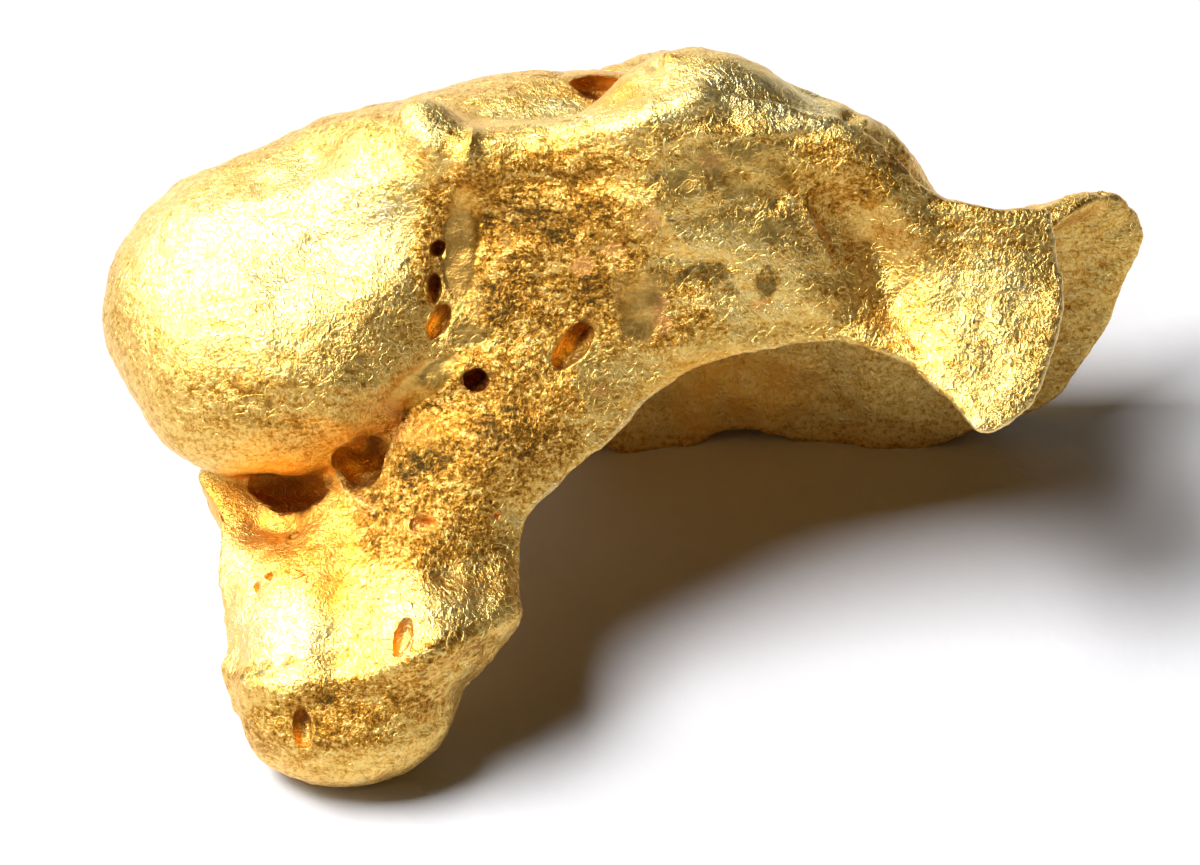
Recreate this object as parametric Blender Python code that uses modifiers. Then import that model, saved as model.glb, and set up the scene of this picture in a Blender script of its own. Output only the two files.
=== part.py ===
"""A water-worn gold nugget, modelled as one solid lump in millimetres and turned to metres at the end.

The nugget is an arch. A heavy bulb sits at its left end over a leg and a rounded foot. A broad dished
wall runs from the bulb to a thin flared flap on the right. A second wall stands behind it, with the
arch's hollow between the two, and ends in a thin lobe that reaches past the flap. The lump is fused from
rounded strokes and from draped sheets of varying thickness, dented, thinned to facets and pitted.

It is laid out with the broad wall upright and facing -Y: x runs across to the right, y runs back and z
runs up. The whole is then leaned back, as it rests, and cut flat where it stands on the floor.
"""

import math

import bmesh
import bpy
import numpy as np
from mathutils import Matrix, Vector, noise

NAME = "gold_nugget"
MM = 0.001  # metres in a millimetre
LEAN = math.radians(45)  # how far the broad wall leans back at rest

LUMP_VOXEL = 0.15  # mm, cell of the remesh that fuses the strokes
LUMP_ROUNDS = 12  # smoothing of the fused strokes
SKIN_VOXEL = 0.11  # mm, cell of the remesh that fuses strokes and sheets
SKIN_ROUNDS = 6
PATH_POINTS = 60  # tried along a stroke for each of its stations
BALL_DIVISIONS = 3
BALL_SPACING = 0.28  # of a radius, between neighbouring balls of a stroke
SHEET_STEP = 0.3  # mm, between neighbouring vertices of a draped sheet
DENT_DEPTH = 0.08  # mm, of the broad dents the river bed hammered in
BACK_DENT_DEPTH = 0.13  # mm, the same on the back, which is rougher
BACK_DEPTH = 3.5  # mm behind the broad wall's plane, where the rough back begins
DENT_SIZE = 1.5  # mm, across one dent
DENT_SEED = 9
SMALL_DENT_SIZE = 0.45  # of a broad dent's size and depth
SMALL_DENT_DEPTH = 0.4
SMALL_DENT_START = Vector((7, 3, 5))  # sets the small dents apart from the broad ones
TRIANGLES = 8600  # of the faceted solid before its pits are cut
PIT_DIVISIONS = 2
IN_FRONT = -20  # mm, before the broad wall, where the line to a pit's place starts
FLOOR_SPREAD = 40  # mm, across the block that cuts the standing face
FLOOR_DEPTH = 10  # mm

# Strokes: stations of (x, y, z, radius) in mm.
BULB = [
    (-8.11, 0.3, 9.1, 2.44),
    (-8.66, 1.27, 10.29, 2.57),
    (-7.96, 1.4, 10.23, 3.14),
    (-6.68, 1.1, 11.14, 2.76),
    (-5.78, 0.81, 11.91, 2.46),
    (-5.0, 0.0, 12.72, 1.93),
    (-4.21, -0.76, 13.19, 1.36),
]
BELLY = [
    (-8.06, 0.34, 9.05, 2.48),
    (-7.13, 0.51, 9.29, 2.88),
    (-6.13, 0.34, 9.61, 2.63),
    (-5.22, 0.17, 10.37, 2.25),
    (-4.64, 0.0, 11.6, 1.82),
    (-4.15, -0.55, 12.65, 1.4),
]
KNOB = [
    (-4.78, -0.98, 13.78, 0.51),
    (-4.22, -1.57, 14.11, 0.64),
    (-3.96, -1.78, 13.6, 0.66),
    (-3.93, -1.4, 12.89, 0.64),
]
CREST = [
    (-4.21, -0.85, 13.06, 1.17),
    (-2.3, -1.31, 13.01, 1.14),
    (-0.51, -1.31, 13.12, 1.21),
    (1.18, -0.95, 14.25, 1.46),
    (2.07, -0.89, 14.25, 1.34),
    (2.87, -0.85, 13.99, 1.23),
    (4.67, -0.64, 13.6, 0.91),
    (5.51, -0.21, 13.25, 0.68),
    (6.38, 0.11, 12.28, 0.51),
    (7.45, 0.25, 11.73, 0.36),
]
ROOF = [
    (-5.81, 1.92, 11.57, 2.46),
    (-4.32, 1.3, 12.34, 2.42),
    (-2.2, 1.17, 13.22, 2.08),
    (-0.51, 1.41, 13.34, 2.01),
    (1.4, 1.72, 13.27, 1.87),
    (3.1, 1.98, 13.01, 1.53),
    (4.58, 2.17, 12.52, 1.14),
]
BACK_LOBE = [
    (-1.78, 4.05, 12.14, 1.7),
    (-0.3, 4.35, 13.34, 1.78),
    (0.85, 5.11, 14.23, 1.57),
    (1.87, 4.95, 13.04, 1.57),
    (2.46, 5.7, 11.39, 1.19),
]
HEEL = [
    (-7.08, 5.85, 7.35, 1.19),
    (-6.87, 4.42, 8.92, 1.65),
    (-6.87, 2.85, 10.04, 2.2),
]
FOOT = [
    (-6.85, -0.81, 2.32, 1.31),
    (-6.77, -0.55, 1.6, 1.44),
    (-5.91, -0.51, 1.56, 1.65),
    (-5.04, -0.59, 1.77, 1.51),
    (-4.31, -0.85, 2.62, 1.06),
]
STROKES = [BULB, BELLY, KNOB, CREST, ROOF, BACK_LOBE, HEEL, FOOT]

# Sheets: sections of (x, y, z, thickness) in mm, each from the outer edge to the arch's rim.
WALL = [
    [
        (-7.93, 0.0, 1.63, 1.06), (-7.06, -1.1, 1.57, 1.27), (-5.89, -1.36, 1.62, 1.27),
        (-4.84, -1.36, 1.7, 1.27), (-3.81, -0.42, 1.73, 0.51),
    ],
    [
        (-7.93, -0.11, 2.86, 1.27), (-7.05, -1.4, 2.76, 1.27), (-5.78, -1.36, 2.88, 1.27),
        (-4.09, -1.95, 3.31, 1.27), (-2.56, -0.93, 3.38, 0.42),
    ],
    [
        (-8.39, 0.64, 5.08, 1.27), (-7.08, -0.08, 5.09, 1.27), (-5.59, -0.21, 5.37, 1.27),
        (-3.89, -1.06, 5.62, 1.27), (-2.16, -0.76, 5.5, 0.34),
    ],
    [
        (-8.91, 1.7, 6.72, 1.27), (-6.9, 1.48, 7.06, 1.48), (-5.07, 0.21, 7.21, 1.7),
        (-3.25, -1.1, 7.1, 1.27), (-1.44, -0.76, 6.41, 0.34),
    ],
    [
        (-6.25, 0.85, 9.12, 1.48), (-4.74, -0.34, 8.75, 1.7), (-3.21, -0.89, 8.84, 1.27),
        (-1.67, -0.98, 8.16, 0.85), (-0.28, -0.72, 7.44, 0.3),
    ],
    [
        (-3.89, -1.1, 12.6, 1.48), (-3.04, -1.06, 11.54, 1.48), (-1.88, -0.98, 10.48, 1.27),
        (-0.4, -0.98, 9.43, 0.85), (0.87, -0.81, 8.52, 0.3),
    ],
    [
        (-2.3, -1.36, 13.43, 1.27), (-1.04, -1.82, 12.79, 1.27), (0.33, -1.57, 11.53, 1.06),
        (1.6, -1.23, 10.27, 0.72), (2.56, -0.89, 9.24, 0.3),
    ],
    [
        (1.26, -1.7, 14.57, 1.06), (1.85, -2.25, 13.73, 1.19), (2.86, -1.82, 12.27, 0.98),
        (3.82, -1.19, 10.69, 0.64), (4.52, -0.93, 9.47, 0.3),
    ],
    [
        (4.66, -1.27, 13.96, 0.76), (4.93, -1.7, 13.11, 0.93), (5.19, -1.06, 11.75, 0.72),
        (5.56, -0.76, 10.27, 0.47), (5.89, -1.14, 8.98, 0.3),
    ],
    [
        (6.38, -0.85, 12.75, 0.47), (6.56, -0.42, 11.65, 0.55), (6.65, -0.25, 10.49, 0.47),
        (6.77, -0.59, 9.22, 0.34), (6.88, -1.06, 8.2, 0.25),
    ],
    [
        (7.75, -0.47, 12.33, 0.34), (7.82, -0.17, 11.23, 0.38), (7.86, -0.34, 10.07, 0.34),
        (7.8, -0.89, 8.69, 0.3), (7.68, -1.44, 7.53, 0.25),
    ],
    [
        (9.07, -0.17, 12.38, 0.25), (9.22, 0.0, 11.24, 0.25), (9.3, -0.25, 10.17, 0.25),
        (9.07, -0.72, 9.11, 0.25), (8.61, -1.19, 8.07, 0.25),
    ],
]
BACK = [
    [
        (-7.82, 5.64, 7.56, 1.48), (-8.03, 4.5, 8.99, 1.91), (-7.93, 3.15, 10.04, 1.91),
        (-7.67, 1.95, 10.64, 1.91), (-7.08, 1.05, 10.94, 1.91),
    ],
    [
        (-6.34, 6.81, 6.39, 1.7), (-6.34, 5.25, 8.84, 1.91), (-6.23, 3.75, 10.64, 1.91),
        (-6.02, 2.4, 11.69, 1.91), (-5.6, 1.35, 11.84, 1.91),
    ],
    [
        (-4.22, 6.45, 7.65, 1.48), (-4.11, 5.32, 9.82, 1.7), (-4.11, 3.9, 11.69, 1.91),
        (-4.11, 2.25, 12.74, 1.91), (-3.9, 0.45, 13.04, 1.7),
    ],
    [
        (-1.89, 6.75, 7.95, 1.4), (-1.78, 5.62, 10.42, 1.7), (-1.78, 4.2, 12.59, 1.91),
        (-1.78, 2.25, 13.64, 1.91), (-1.67, 0.07, 13.72, 1.7),
    ],
    [
        (0.34, 7.96, 7.18, 1.61), (0.34, 6.0, 10.49, 1.7), (0.34, 4.57, 12.97, 1.91),
        (0.34, 2.4, 14.09, 1.91), (0.34, -0.07, 14.17, 1.48),
    ],
    [
        (2.46, 7.62, 7.86, 1.27), (2.46, 5.88, 10.67, 1.4), (2.46, 4.35, 12.74, 1.61),
        (2.46, 2.4, 13.79, 1.7), (2.46, -0.22, 14.02, 1.48),
    ],
    [
        (4.54, 8.03, 7.5, 1.61), (4.54, 5.92, 10.42, 1.4), (4.54, 4.35, 12.44, 1.4),
        (4.54, 2.32, 13.27, 1.4), (4.54, 0.07, 13.27, 1.27),
    ],
    [
        (5.75, 8.01, 7.23, 1.7), (5.85, 6.0, 10.19, 1.27), (5.85, 4.5, 11.99, 1.14),
        (5.75, 2.55, 12.59, 1.06), (5.64, 0.22, 12.67, 0.93),
    ],
    [
        (7.34, 7.5, 7.74, 1.27), (7.55, 6.15, 10.04, 1.06), (7.44, 4.95, 11.54, 0.93),
        (7.23, 3.07, 11.92, 0.85), (7.02, 0.9, 11.84, 0.68),
    ],
    [
        (8.95, 6.93, 8.06, 0.98), (9.2, 6.07, 10.27, 0.81), (9.24, 5.43, 11.42, 0.72),
        (9.03, 4.48, 12.16, 0.64), (8.61, 3.12, 11.87, 0.51),
    ],
    [
        (10.18, 6.42, 9.29, 0.72), (10.41, 5.88, 10.67, 0.68), (10.52, 5.4, 11.69, 0.64),
        (10.35, 4.95, 12.44, 0.59), (9.92, 4.26, 12.71, 0.47),
    ],
    [
        (10.77, 6.0, 10.37, 0.51), (10.96, 5.73, 11.12, 0.47), (11.11, 5.46, 11.81, 0.47),
        (10.98, 5.19, 12.38, 0.42), (10.6, 4.98, 12.53, 0.38),
    ],
]
SHEETS = [WALL, BACK]


# Pits seen on the broad wall: (x, z, half width, half height, depth, turn in degrees), the rest in mm.
PITS = [
    (-5.58, 6.93, 0.57, 0.81, 1.27, -20),
    (-7.18, 6.05, 1.1, 0.64, 0.93, 4),
    (-6.21, 6.26, 0.38, 0.55, 1.02, 0),
    (-1.08, 9.38, 0.32, 0.61, 0.51, 38),
    (-3.13, 8.64, 0.3, 0.28, 0.51, 0),
    (-3.99, 9.89, 0.19, 0.42, 0.42, 25),
    (-4.01, 10.67, 0.15, 0.3, 0.38, 0),
    (-3.97, 11.43, 0.15, 0.19, 0.34, 0),
    (-4.29, 5.56, 0.28, 0.21, 0.21, 0),
    (-6.82, 1.19, 0.19, 0.49, 0.34, -4),
    (-0.42, 14.83, 0.76, 0.36, 0.64, 6),
]


def clear_scene():
    for thing in list(bpy.data.objects):
        bpy.data.objects.remove(thing, do_unlink=True)


def collection(name):
    made = bpy.data.collections.new(name)
    bpy.context.scene.collection.children.link(made)
    return made


def add_object(name, bm, home):
    mesh = bpy.data.meshes.new(name)
    bm.to_mesh(mesh)
    bm.free()
    made = bpy.data.objects.new(name, mesh)
    home.objects.link(made)
    return made


def spline(points, places):
    """Catmull-Rom curve through the points, read at places counted in whole stations."""
    rows = np.asarray(points, float)
    rows = np.concatenate([2 * rows[:1] - rows[1:2], rows, 2 * rows[-1:] - rows[-2:-1]])
    places = np.asarray(places, float)
    first = np.clip(places.astype(int), 0, len(rows) - 4)
    t = (places - first).reshape((-1,) + (1,) * (rows.ndim - 1))
    a, b, c, d = (rows[first + k] for k in range(4))
    return 0.5 * (2 * b + (c - a) * t + (2 * a - 5 * b + 4 * c - d) * t**2 + (3 * b - a - 3 * c + d) * t**3)


def stroke(name, stations, home):
    """A chain of overlapping balls along a smooth path, with the radius running smoothly too."""
    balls = bmesh.new()
    fine = spline(stations, np.linspace(0, len(stations) - 1, PATH_POINTS * len(stations)))
    last = None
    for row in fine:
        centre, radius = Vector(row[:3]), float(row[3])
        if last is not None and (centre - last).length < BALL_SPACING * radius:
            continue
        place = Matrix.Translation(centre)
        bmesh.ops.create_icosphere(balls, subdivisions=BALL_DIVISIONS, radius=radius, matrix=place)
        last = centre
    return add_object(name, balls, home)


def sheet(name, sections, home):
    """A grid draped through the sections and thickened by the amount each station states."""
    rows = np.asarray(sections, float)
    long = np.linalg.norm(np.diff(rows[:, :, :3], axis=0), axis=2).sum(axis=0).max()
    wide = np.linalg.norm(np.diff(rows[:, :, :3], axis=1), axis=2).sum(axis=1).max()
    down, along = math.ceil(wide / SHEET_STEP), math.ceil(long / SHEET_STEP)
    lines = spline(rows, np.linspace(0, len(rows) - 1, along + 1))
    net = spline(lines.transpose(1, 0, 2), np.linspace(0, rows.shape[1] - 1, down + 1))
    grid = bmesh.new()
    bmesh.ops.create_grid(grid, x_segments=along, y_segments=down, size=0.5)
    grid.verts.ensure_lookup_table()
    weights = []
    thickest = float(net[:, :, 3].max())
    for vertex in grid.verts:
        i = round((vertex.co.y + 0.5) * down)
        j = round((vertex.co.x + 0.5) * along)
        vertex.co = net[i, j, :3]
        weights.append(float(net[i, j, 3]) / thickest)
    made = add_object(name, grid, home)
    group = made.vertex_groups.new(name="thickness")
    for index, weight in enumerate(weights):
        group.add([index], weight, "REPLACE")
    solid = made.modifiers.new("thickness", "SOLIDIFY")
    solid.thickness = thickest
    solid.offset = 0
    solid.vertex_group = group.name
    return made


def baked(thing):
    """The object with its modifiers made real."""
    depsgraph = bpy.context.evaluated_depsgraph_get()
    mesh = bpy.data.meshes.new_from_object(thing.evaluated_get(depsgraph))
    thing.modifiers.clear()
    thing.vertex_groups.clear()
    thing.data = mesh
    return thing


def joined(name, things, home):
    """One object out of several, still overlapping."""
    whole = bmesh.new()
    for thing in things:
        baked(thing)
        whole.from_mesh(thing.data)
        bpy.data.objects.remove(thing, do_unlink=True)
    return add_object(name, whole, home)


def fused(thing, voxel, rounds):
    """Overlapping pieces made into one skin, with the seams worked soft."""
    remesh = thing.modifiers.new("fuse", "REMESH")
    remesh.mode = "VOXEL"
    remesh.voxel_size = voxel
    soften = thing.modifiers.new("soften", "SMOOTH")
    soften.factor = 0.5
    soften.iterations = rounds
    return baked(thing)


def dented(thing):
    """Dents and lumps from a wandering shift, which bends the thin rims without pinching them."""
    noise.seed_set(DENT_SEED)
    for vertex in thing.data.vertices:
        broad = noise.noise_vector(vertex.co / DENT_SIZE)
        small = noise.noise_vector(vertex.co / (SMALL_DENT_SIZE * DENT_SIZE) + SMALL_DENT_START)
        rough = min(max(vertex.co.y / BACK_DEPTH, 0), 1)
        depth = DENT_DEPTH + rough * (BACK_DENT_DEPTH - DENT_DEPTH)
        vertex.co += depth * (broad + SMALL_DENT_DEPTH * small)
    return thing


def thinned(thing, triangles):
    """Fewer triangles, spent where the surface bends most."""
    thing.data.calc_loop_triangles()
    thin = thing.modifiers.new("thin", "DECIMATE")
    thin.ratio = triangles / len(thing.data.loop_triangles)
    thin.use_collapse_triangulate = True
    return baked(thing)


def pit(name, thing, x, z, half_width, half_height, depth, turn, home):
    """An egg-shaped cutter centred on the surface that the front shows at x and z."""
    hit, surface, _, _ = thing.ray_cast(Vector((x, IN_FRONT, z)), Vector((0, 1, 0)))
    if not hit:
        raise ValueError(f"{name} misses the nugget")
    egg = bmesh.new()
    bmesh.ops.create_icosphere(egg, subdivisions=PIT_DIVISIONS, radius=1)
    shape = Matrix.Rotation(math.radians(turn), 4, "Y") @ Matrix.Diagonal((half_width, depth, half_height, 1))
    bmesh.ops.transform(egg, matrix=Matrix.Translation(surface) @ shape, verts=egg.verts)
    return add_object(name, egg, home)


def floor_block(home):
    """A block whose top is the floor."""
    block = bmesh.new()
    size = Matrix.Diagonal((FLOOR_SPREAD, FLOOR_SPREAD, FLOOR_DEPTH, 1))
    shape = Matrix.Translation((0, 0, -FLOOR_DEPTH / 2)) @ size
    bmesh.ops.create_cube(block, size=1, matrix=shape)
    return add_object("floor_block", block, home)


def cut(thing, cutter):
    """The cutter taken out of the solid."""
    cutter.hide_render = True
    cutter.display_type = "WIRE"
    boolean = thing.modifiers.new(cutter.name, "BOOLEAN")
    boolean.operation = "DIFFERENCE"
    boolean.solver = "EXACT"
    boolean.object = cutter
    return baked(thing)


def triangulated(thing):
    skin = bmesh.new()
    skin.from_mesh(thing.data)
    bmesh.ops.triangulate(skin, faces=skin.faces, quad_method="BEAUTY", ngon_method="BEAUTY")
    skin.to_mesh(thing.data)
    skin.free()
    return thing


def gold():
    made = bpy.data.materials.new("native_gold")
    made.use_nodes = True
    shader = made.node_tree.nodes["Principled BSDF"]
    shader.inputs["Base Color"].default_value = (0.86, 0.58, 0.16, 1)
    shader.inputs["Metallic"].default_value = 1
    shader.inputs["Roughness"].default_value = 0.35
    return made


clear_scene()
parts = collection(NAME)
cutters = collection("cutters")

strokes = [stroke(f"stroke_{n}", stations, parts) for n, stations in enumerate(STROKES)]
lump = fused(joined("lump", strokes, parts), LUMP_VOXEL, LUMP_ROUNDS)
sheets = [sheet(f"sheet_{n}", sections, parts) for n, sections in enumerate(SHEETS)]
nugget = fused(joined(NAME, [lump, *sheets], parts), SKIN_VOXEL, SKIN_ROUNDS)
thinned(dented(nugget), TRIANGLES)
eggs = [pit(f"pit_{n}", nugget, *row, cutters) for n, row in enumerate(PITS)]
for egg in eggs:
    cut(nugget, egg)

nugget.data.transform(Matrix.Rotation(-LEAN, 4, "X"))
cut(nugget, floor_block(cutters))
triangulated(nugget)

corners = np.array([vertex.co for vertex in nugget.data.vertices])
low, high = corners.min(axis=0), corners.max(axis=0)
middle = Vector(((low[0] + high[0]) / 2, (low[1] + high[1]) / 2, low[2]))
nugget.data.transform(Matrix.Scale(MM, 4) @ Matrix.Translation(-middle))
nugget.data.materials.clear()
nugget.data.materials.append(gold())
print("size in mm:", [round(float(side), 2) for side in high - low])
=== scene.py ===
# %% [markdown]
# # A water-worn gold nugget
# Native gold is soft. A river rolls and hammers it for thousands of years, so a nugget has no crystal
# faces left, only lumps, folds, thin beaten edges and pits where quartz once sat. We load the packed
# model first. It gives the frame, the size and the place that the finished nugget has to keep.

# %% Load the frame
import math

import bmesh
import bpy
import numpy as np
from mathutils import Matrix, Vector, noise
from mathutils.bvhtree import BVHTree


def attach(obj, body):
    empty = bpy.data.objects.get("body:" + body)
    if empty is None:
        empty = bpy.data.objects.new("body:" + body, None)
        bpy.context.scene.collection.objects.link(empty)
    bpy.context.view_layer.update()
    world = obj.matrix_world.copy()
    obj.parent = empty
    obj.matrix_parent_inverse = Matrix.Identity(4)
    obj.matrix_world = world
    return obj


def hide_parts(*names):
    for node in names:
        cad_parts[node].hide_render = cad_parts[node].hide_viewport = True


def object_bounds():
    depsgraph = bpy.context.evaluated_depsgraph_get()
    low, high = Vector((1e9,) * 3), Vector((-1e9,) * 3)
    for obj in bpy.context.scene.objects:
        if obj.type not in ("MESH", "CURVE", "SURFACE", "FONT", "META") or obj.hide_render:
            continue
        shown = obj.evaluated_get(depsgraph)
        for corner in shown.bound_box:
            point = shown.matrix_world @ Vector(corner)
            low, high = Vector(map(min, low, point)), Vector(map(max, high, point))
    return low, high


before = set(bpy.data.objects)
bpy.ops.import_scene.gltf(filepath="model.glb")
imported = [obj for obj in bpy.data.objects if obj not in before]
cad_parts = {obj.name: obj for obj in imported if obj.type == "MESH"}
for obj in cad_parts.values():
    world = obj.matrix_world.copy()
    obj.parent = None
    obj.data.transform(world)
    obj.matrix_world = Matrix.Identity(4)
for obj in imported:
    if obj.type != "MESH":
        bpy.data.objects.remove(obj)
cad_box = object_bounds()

MM = 0.001
low_corner, high_corner = np.array(cad_box[0]), np.array(cad_box[1])
print("frame in mm:", np.round((high_corner - low_corner) / MM, 2))

# %% [markdown]
# ## The lump, as strokes
# The massive parts are round in section: the bulb, the crest, the knob, the foot. A sculptor would roll
# clay sausages. We do the same with stations, each a centre and a radius in millimetres, and let a smooth
# curve pass through them. The wall is laid out upright and facing -Y, which keeps the numbers easy to
# read, and it is leaned back at the end.

# %% Stations of the strokes
BULB = [
    (-8.11, 0.3, 9.1, 2.44),
    (-8.66, 1.27, 10.29, 2.57),
    (-7.96, 1.4, 10.23, 3.14),
    (-6.68, 1.1, 11.14, 2.76),
    (-5.78, 0.81, 11.91, 2.46),
    (-5.0, 0.0, 12.72, 1.93),
    (-4.21, -0.76, 13.19, 1.36),
]
BELLY = [
    (-8.06, 0.34, 9.05, 2.48),
    (-7.13, 0.51, 9.29, 2.88),
    (-6.13, 0.34, 9.61, 2.63),
    (-5.22, 0.17, 10.37, 2.25),
    (-4.64, 0.0, 11.6, 1.82),
    (-4.15, -0.55, 12.65, 1.4),
]
KNOB = [
    (-4.78, -0.98, 13.78, 0.51),
    (-4.22, -1.57, 14.11, 0.64),
    (-3.96, -1.78, 13.6, 0.66),
    (-3.93, -1.4, 12.89, 0.64),
]
CREST = [
    (-4.21, -0.85, 13.06, 1.17),
    (-2.3, -1.31, 13.01, 1.14),
    (-0.51, -1.31, 13.12, 1.21),
    (1.18, -0.95, 14.25, 1.46),
    (2.07, -0.89, 14.25, 1.34),
    (2.87, -0.85, 13.99, 1.23),
    (4.67, -0.64, 13.6, 0.91),
    (5.51, -0.21, 13.25, 0.68),
    (6.38, 0.11, 12.28, 0.51),
    (7.45, 0.25, 11.73, 0.36),
]
ROOF = [
    (-5.81, 1.92, 11.57, 2.46),
    (-4.32, 1.3, 12.34, 2.42),
    (-2.2, 1.17, 13.22, 2.08),
    (-0.51, 1.41, 13.34, 2.01),
    (1.4, 1.72, 13.27, 1.87),
    (3.1, 1.98, 13.01, 1.53),
    (4.58, 2.17, 12.52, 1.14),
]
BACK_LOBE = [
    (-1.78, 4.05, 12.14, 1.7),
    (-0.3, 4.35, 13.34, 1.78),
    (0.85, 5.11, 14.23, 1.57),
    (1.87, 4.95, 13.04, 1.57),
    (2.46, 5.7, 11.39, 1.19),
]
HEEL = [
    (-7.08, 5.85, 7.35, 1.19),
    (-6.87, 4.42, 8.92, 1.65),
    (-6.87, 2.85, 10.04, 2.2),
]
FOOT = [
    (-6.85, -0.81, 2.32, 1.31),
    (-6.77, -0.55, 1.6, 1.44),
    (-5.91, -0.51, 1.56, 1.65),
    (-5.04, -0.59, 1.77, 1.51),
    (-4.31, -0.85, 2.62, 1.06),
]
STROKES = {
    "bulb": BULB,
    "belly": BELLY,
    "knob": KNOB,
    "crest": CREST,
    "roof": ROOF,
    "back_lobe": BACK_LOBE,
    "heel": HEEL,
    "foot": FOOT,
}
print(len(STROKES), "strokes")

# %% [markdown]
# ## A curve through the stations
# A Catmull-Rom curve passes through every station and needs no handles, so the stations alone say where
# the metal goes. The same function works on rows of points, which the sheets use further down.


# %% The curve
def spline(points, places):
    """The curve through the points, read at places counted in whole stations."""
    rows = np.asarray(points, float)
    rows = np.concatenate([2 * rows[:1] - rows[1:2], rows, 2 * rows[-1:] - rows[-2:-1]])
    places = np.asarray(places, float)
    first = np.clip(places.astype(int), 0, len(rows) - 4)
    t = (places - first).reshape((-1,) + (1,) * (rows.ndim - 1))
    a, b, c, d = (rows[first + k] for k in range(4))
    square = 2 * a - 5 * b + 4 * c - d
    cube = 3 * b - a - 3 * c + d
    return 0.5 * (2 * b + (c - a) * t + square * t**2 + cube * t**3)


BALL_SPACING = 0.28  # of a radius, between neighbouring balls
FINE_STEPS = 60  # curve points tried for each station


def beads(stations):
    """Centres and radii of the balls strung along one stroke."""
    kept = []
    for row in spline(stations, np.linspace(0, len(stations) - 1, FINE_STEPS * len(stations))):
        if not kept or np.linalg.norm(row[:3] - kept[-1][:3]) >= BALL_SPACING * row[3]:
            kept.append(row)
    return np.array(kept)


print("balls per stroke:", {name: len(beads(stations)) for name, stations in STROKES.items()})

# %% [markdown]
# ## Geometry nodes that string the balls
# Balls that repeat along a path are what Geometry Nodes do best. The tree below takes a handful of points
# with a radius stored on each. It sets one ball on every point, sized by that radius, then realizes the
# instances, since only real faces can be fused. The size of a facet is a named input.


# %% Helpers for node trees
def geometry_tree(name, inputs):
    """A new tree with a mesh in, a mesh out, and the named inputs given as (type, default)."""
    tree = bpy.data.node_groups.new(name, "GeometryNodeTree")
    tree.interface.new_socket("Mesh", in_out="INPUT", socket_type="NodeSocketGeometry")
    for label, (kind, default) in inputs.items():
        made = tree.interface.new_socket(label, in_out="INPUT", socket_type=kind)
        if default is not None:
            made.default_value = default
    tree.interface.new_socket("Mesh", in_out="OUTPUT", socket_type="NodeSocketGeometry")
    return tree


def add(tree, kind, settings=None, **values):
    """One node: its settings first, then its sockets by name, as values or links."""
    made = tree.nodes.new(kind)
    for name, value in (settings or {}).items():
        setattr(made, name, value)
    for name, value in values.items():
        socket = made.inputs[name.replace("_", " ")]
        if isinstance(value, bpy.types.NodeSocket):
            tree.links.new(value, socket)
        else:
            socket.default_value = value
    return made


def run_tree(thing, tree, values):
    """The tree's result as the object's own plain mesh, with inputs set by their identifiers."""
    modifier = thing.modifiers.new(tree.name, "NODES")
    modifier.node_group = tree
    for item in tree.interface.items_tree:
        if item.in_out == "INPUT" and item.name in values:
            modifier[item.identifier] = values[item.name]
    return baked(thing)


def baked(thing):
    """The object with its modifiers made real."""
    depsgraph = bpy.context.evaluated_depsgraph_get()
    mesh = bpy.data.meshes.new_from_object(thing.evaluated_get(depsgraph))
    thing.modifiers.clear()
    thing.vertex_groups.clear()
    thing.data = mesh
    return thing


def plain_object(name, mesh):
    made = bpy.data.objects.new(name, mesh)
    bpy.context.scene.collection.objects.link(made)
    return made


gold = bpy.data.materials.new("native_gold")
gold.use_nodes = True
print("material started:", gold.name)

# %% The tree of balls
string_of_balls = geometry_tree(
    "string of balls",
    {"Ball Divisions": ("NodeSocketInt", 4), "Metal": ("NodeSocketMaterial", None)},
)
entry = string_of_balls.nodes.new("NodeGroupInput")
size = add(string_of_balls, "GeometryNodeInputNamedAttribute", {"data_type": "FLOAT"}, Name="size")
ball = add(
    string_of_balls,
    "GeometryNodeMeshIcoSphere",
    Radius=1.0,
    Subdivisions=entry.outputs["Ball Divisions"],
)
placed = add(
    string_of_balls,
    "GeometryNodeInstanceOnPoints",
    Points=entry.outputs["Mesh"],
    Instance=ball.outputs["Mesh"],
    Scale=size.outputs["Attribute"],
)
solid = add(string_of_balls, "GeometryNodeRealizeInstances", Geometry=placed.outputs["Instances"])
dressed = add(
    string_of_balls,
    "GeometryNodeSetMaterial",
    Geometry=solid.outputs["Geometry"],
    Material=entry.outputs["Metal"],
)
leave = string_of_balls.nodes.new("NodeGroupOutput")
string_of_balls.links.new(dressed.outputs["Geometry"], leave.inputs["Mesh"])
print("tree:", string_of_balls.name, "with", len(string_of_balls.nodes), "nodes")


# %% String every stroke
def stroke(name, stations):
    rows = beads(stations)
    mesh = bpy.data.meshes.new(name)
    mesh.from_pydata([tuple(row[:3]) for row in rows], [], [])
    sizes = mesh.attributes.new("size", "FLOAT", "POINT")
    sizes.data.foreach_set("value", rows[:, 3])
    return run_tree(plain_object(name, mesh), string_of_balls, {"Metal": gold, "Ball Divisions": 4})


strokes = [stroke(name, stations) for name, stations in STROKES.items()]
print("faces in the strokes:", sum(len(one.data.polygons) for one in strokes))

# %% [markdown]
# ## The thin walls, as draped sheets
# The broad wall in front and the rough wall behind are plates of uneven thickness. Each is a net of
# sections, from the outer edge to the rim of the arch, and each station adds a thickness. Solidify reads
# it from a vertex group, so a rim can be a quarter of a millimetre thin and the middle five times as much.

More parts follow.
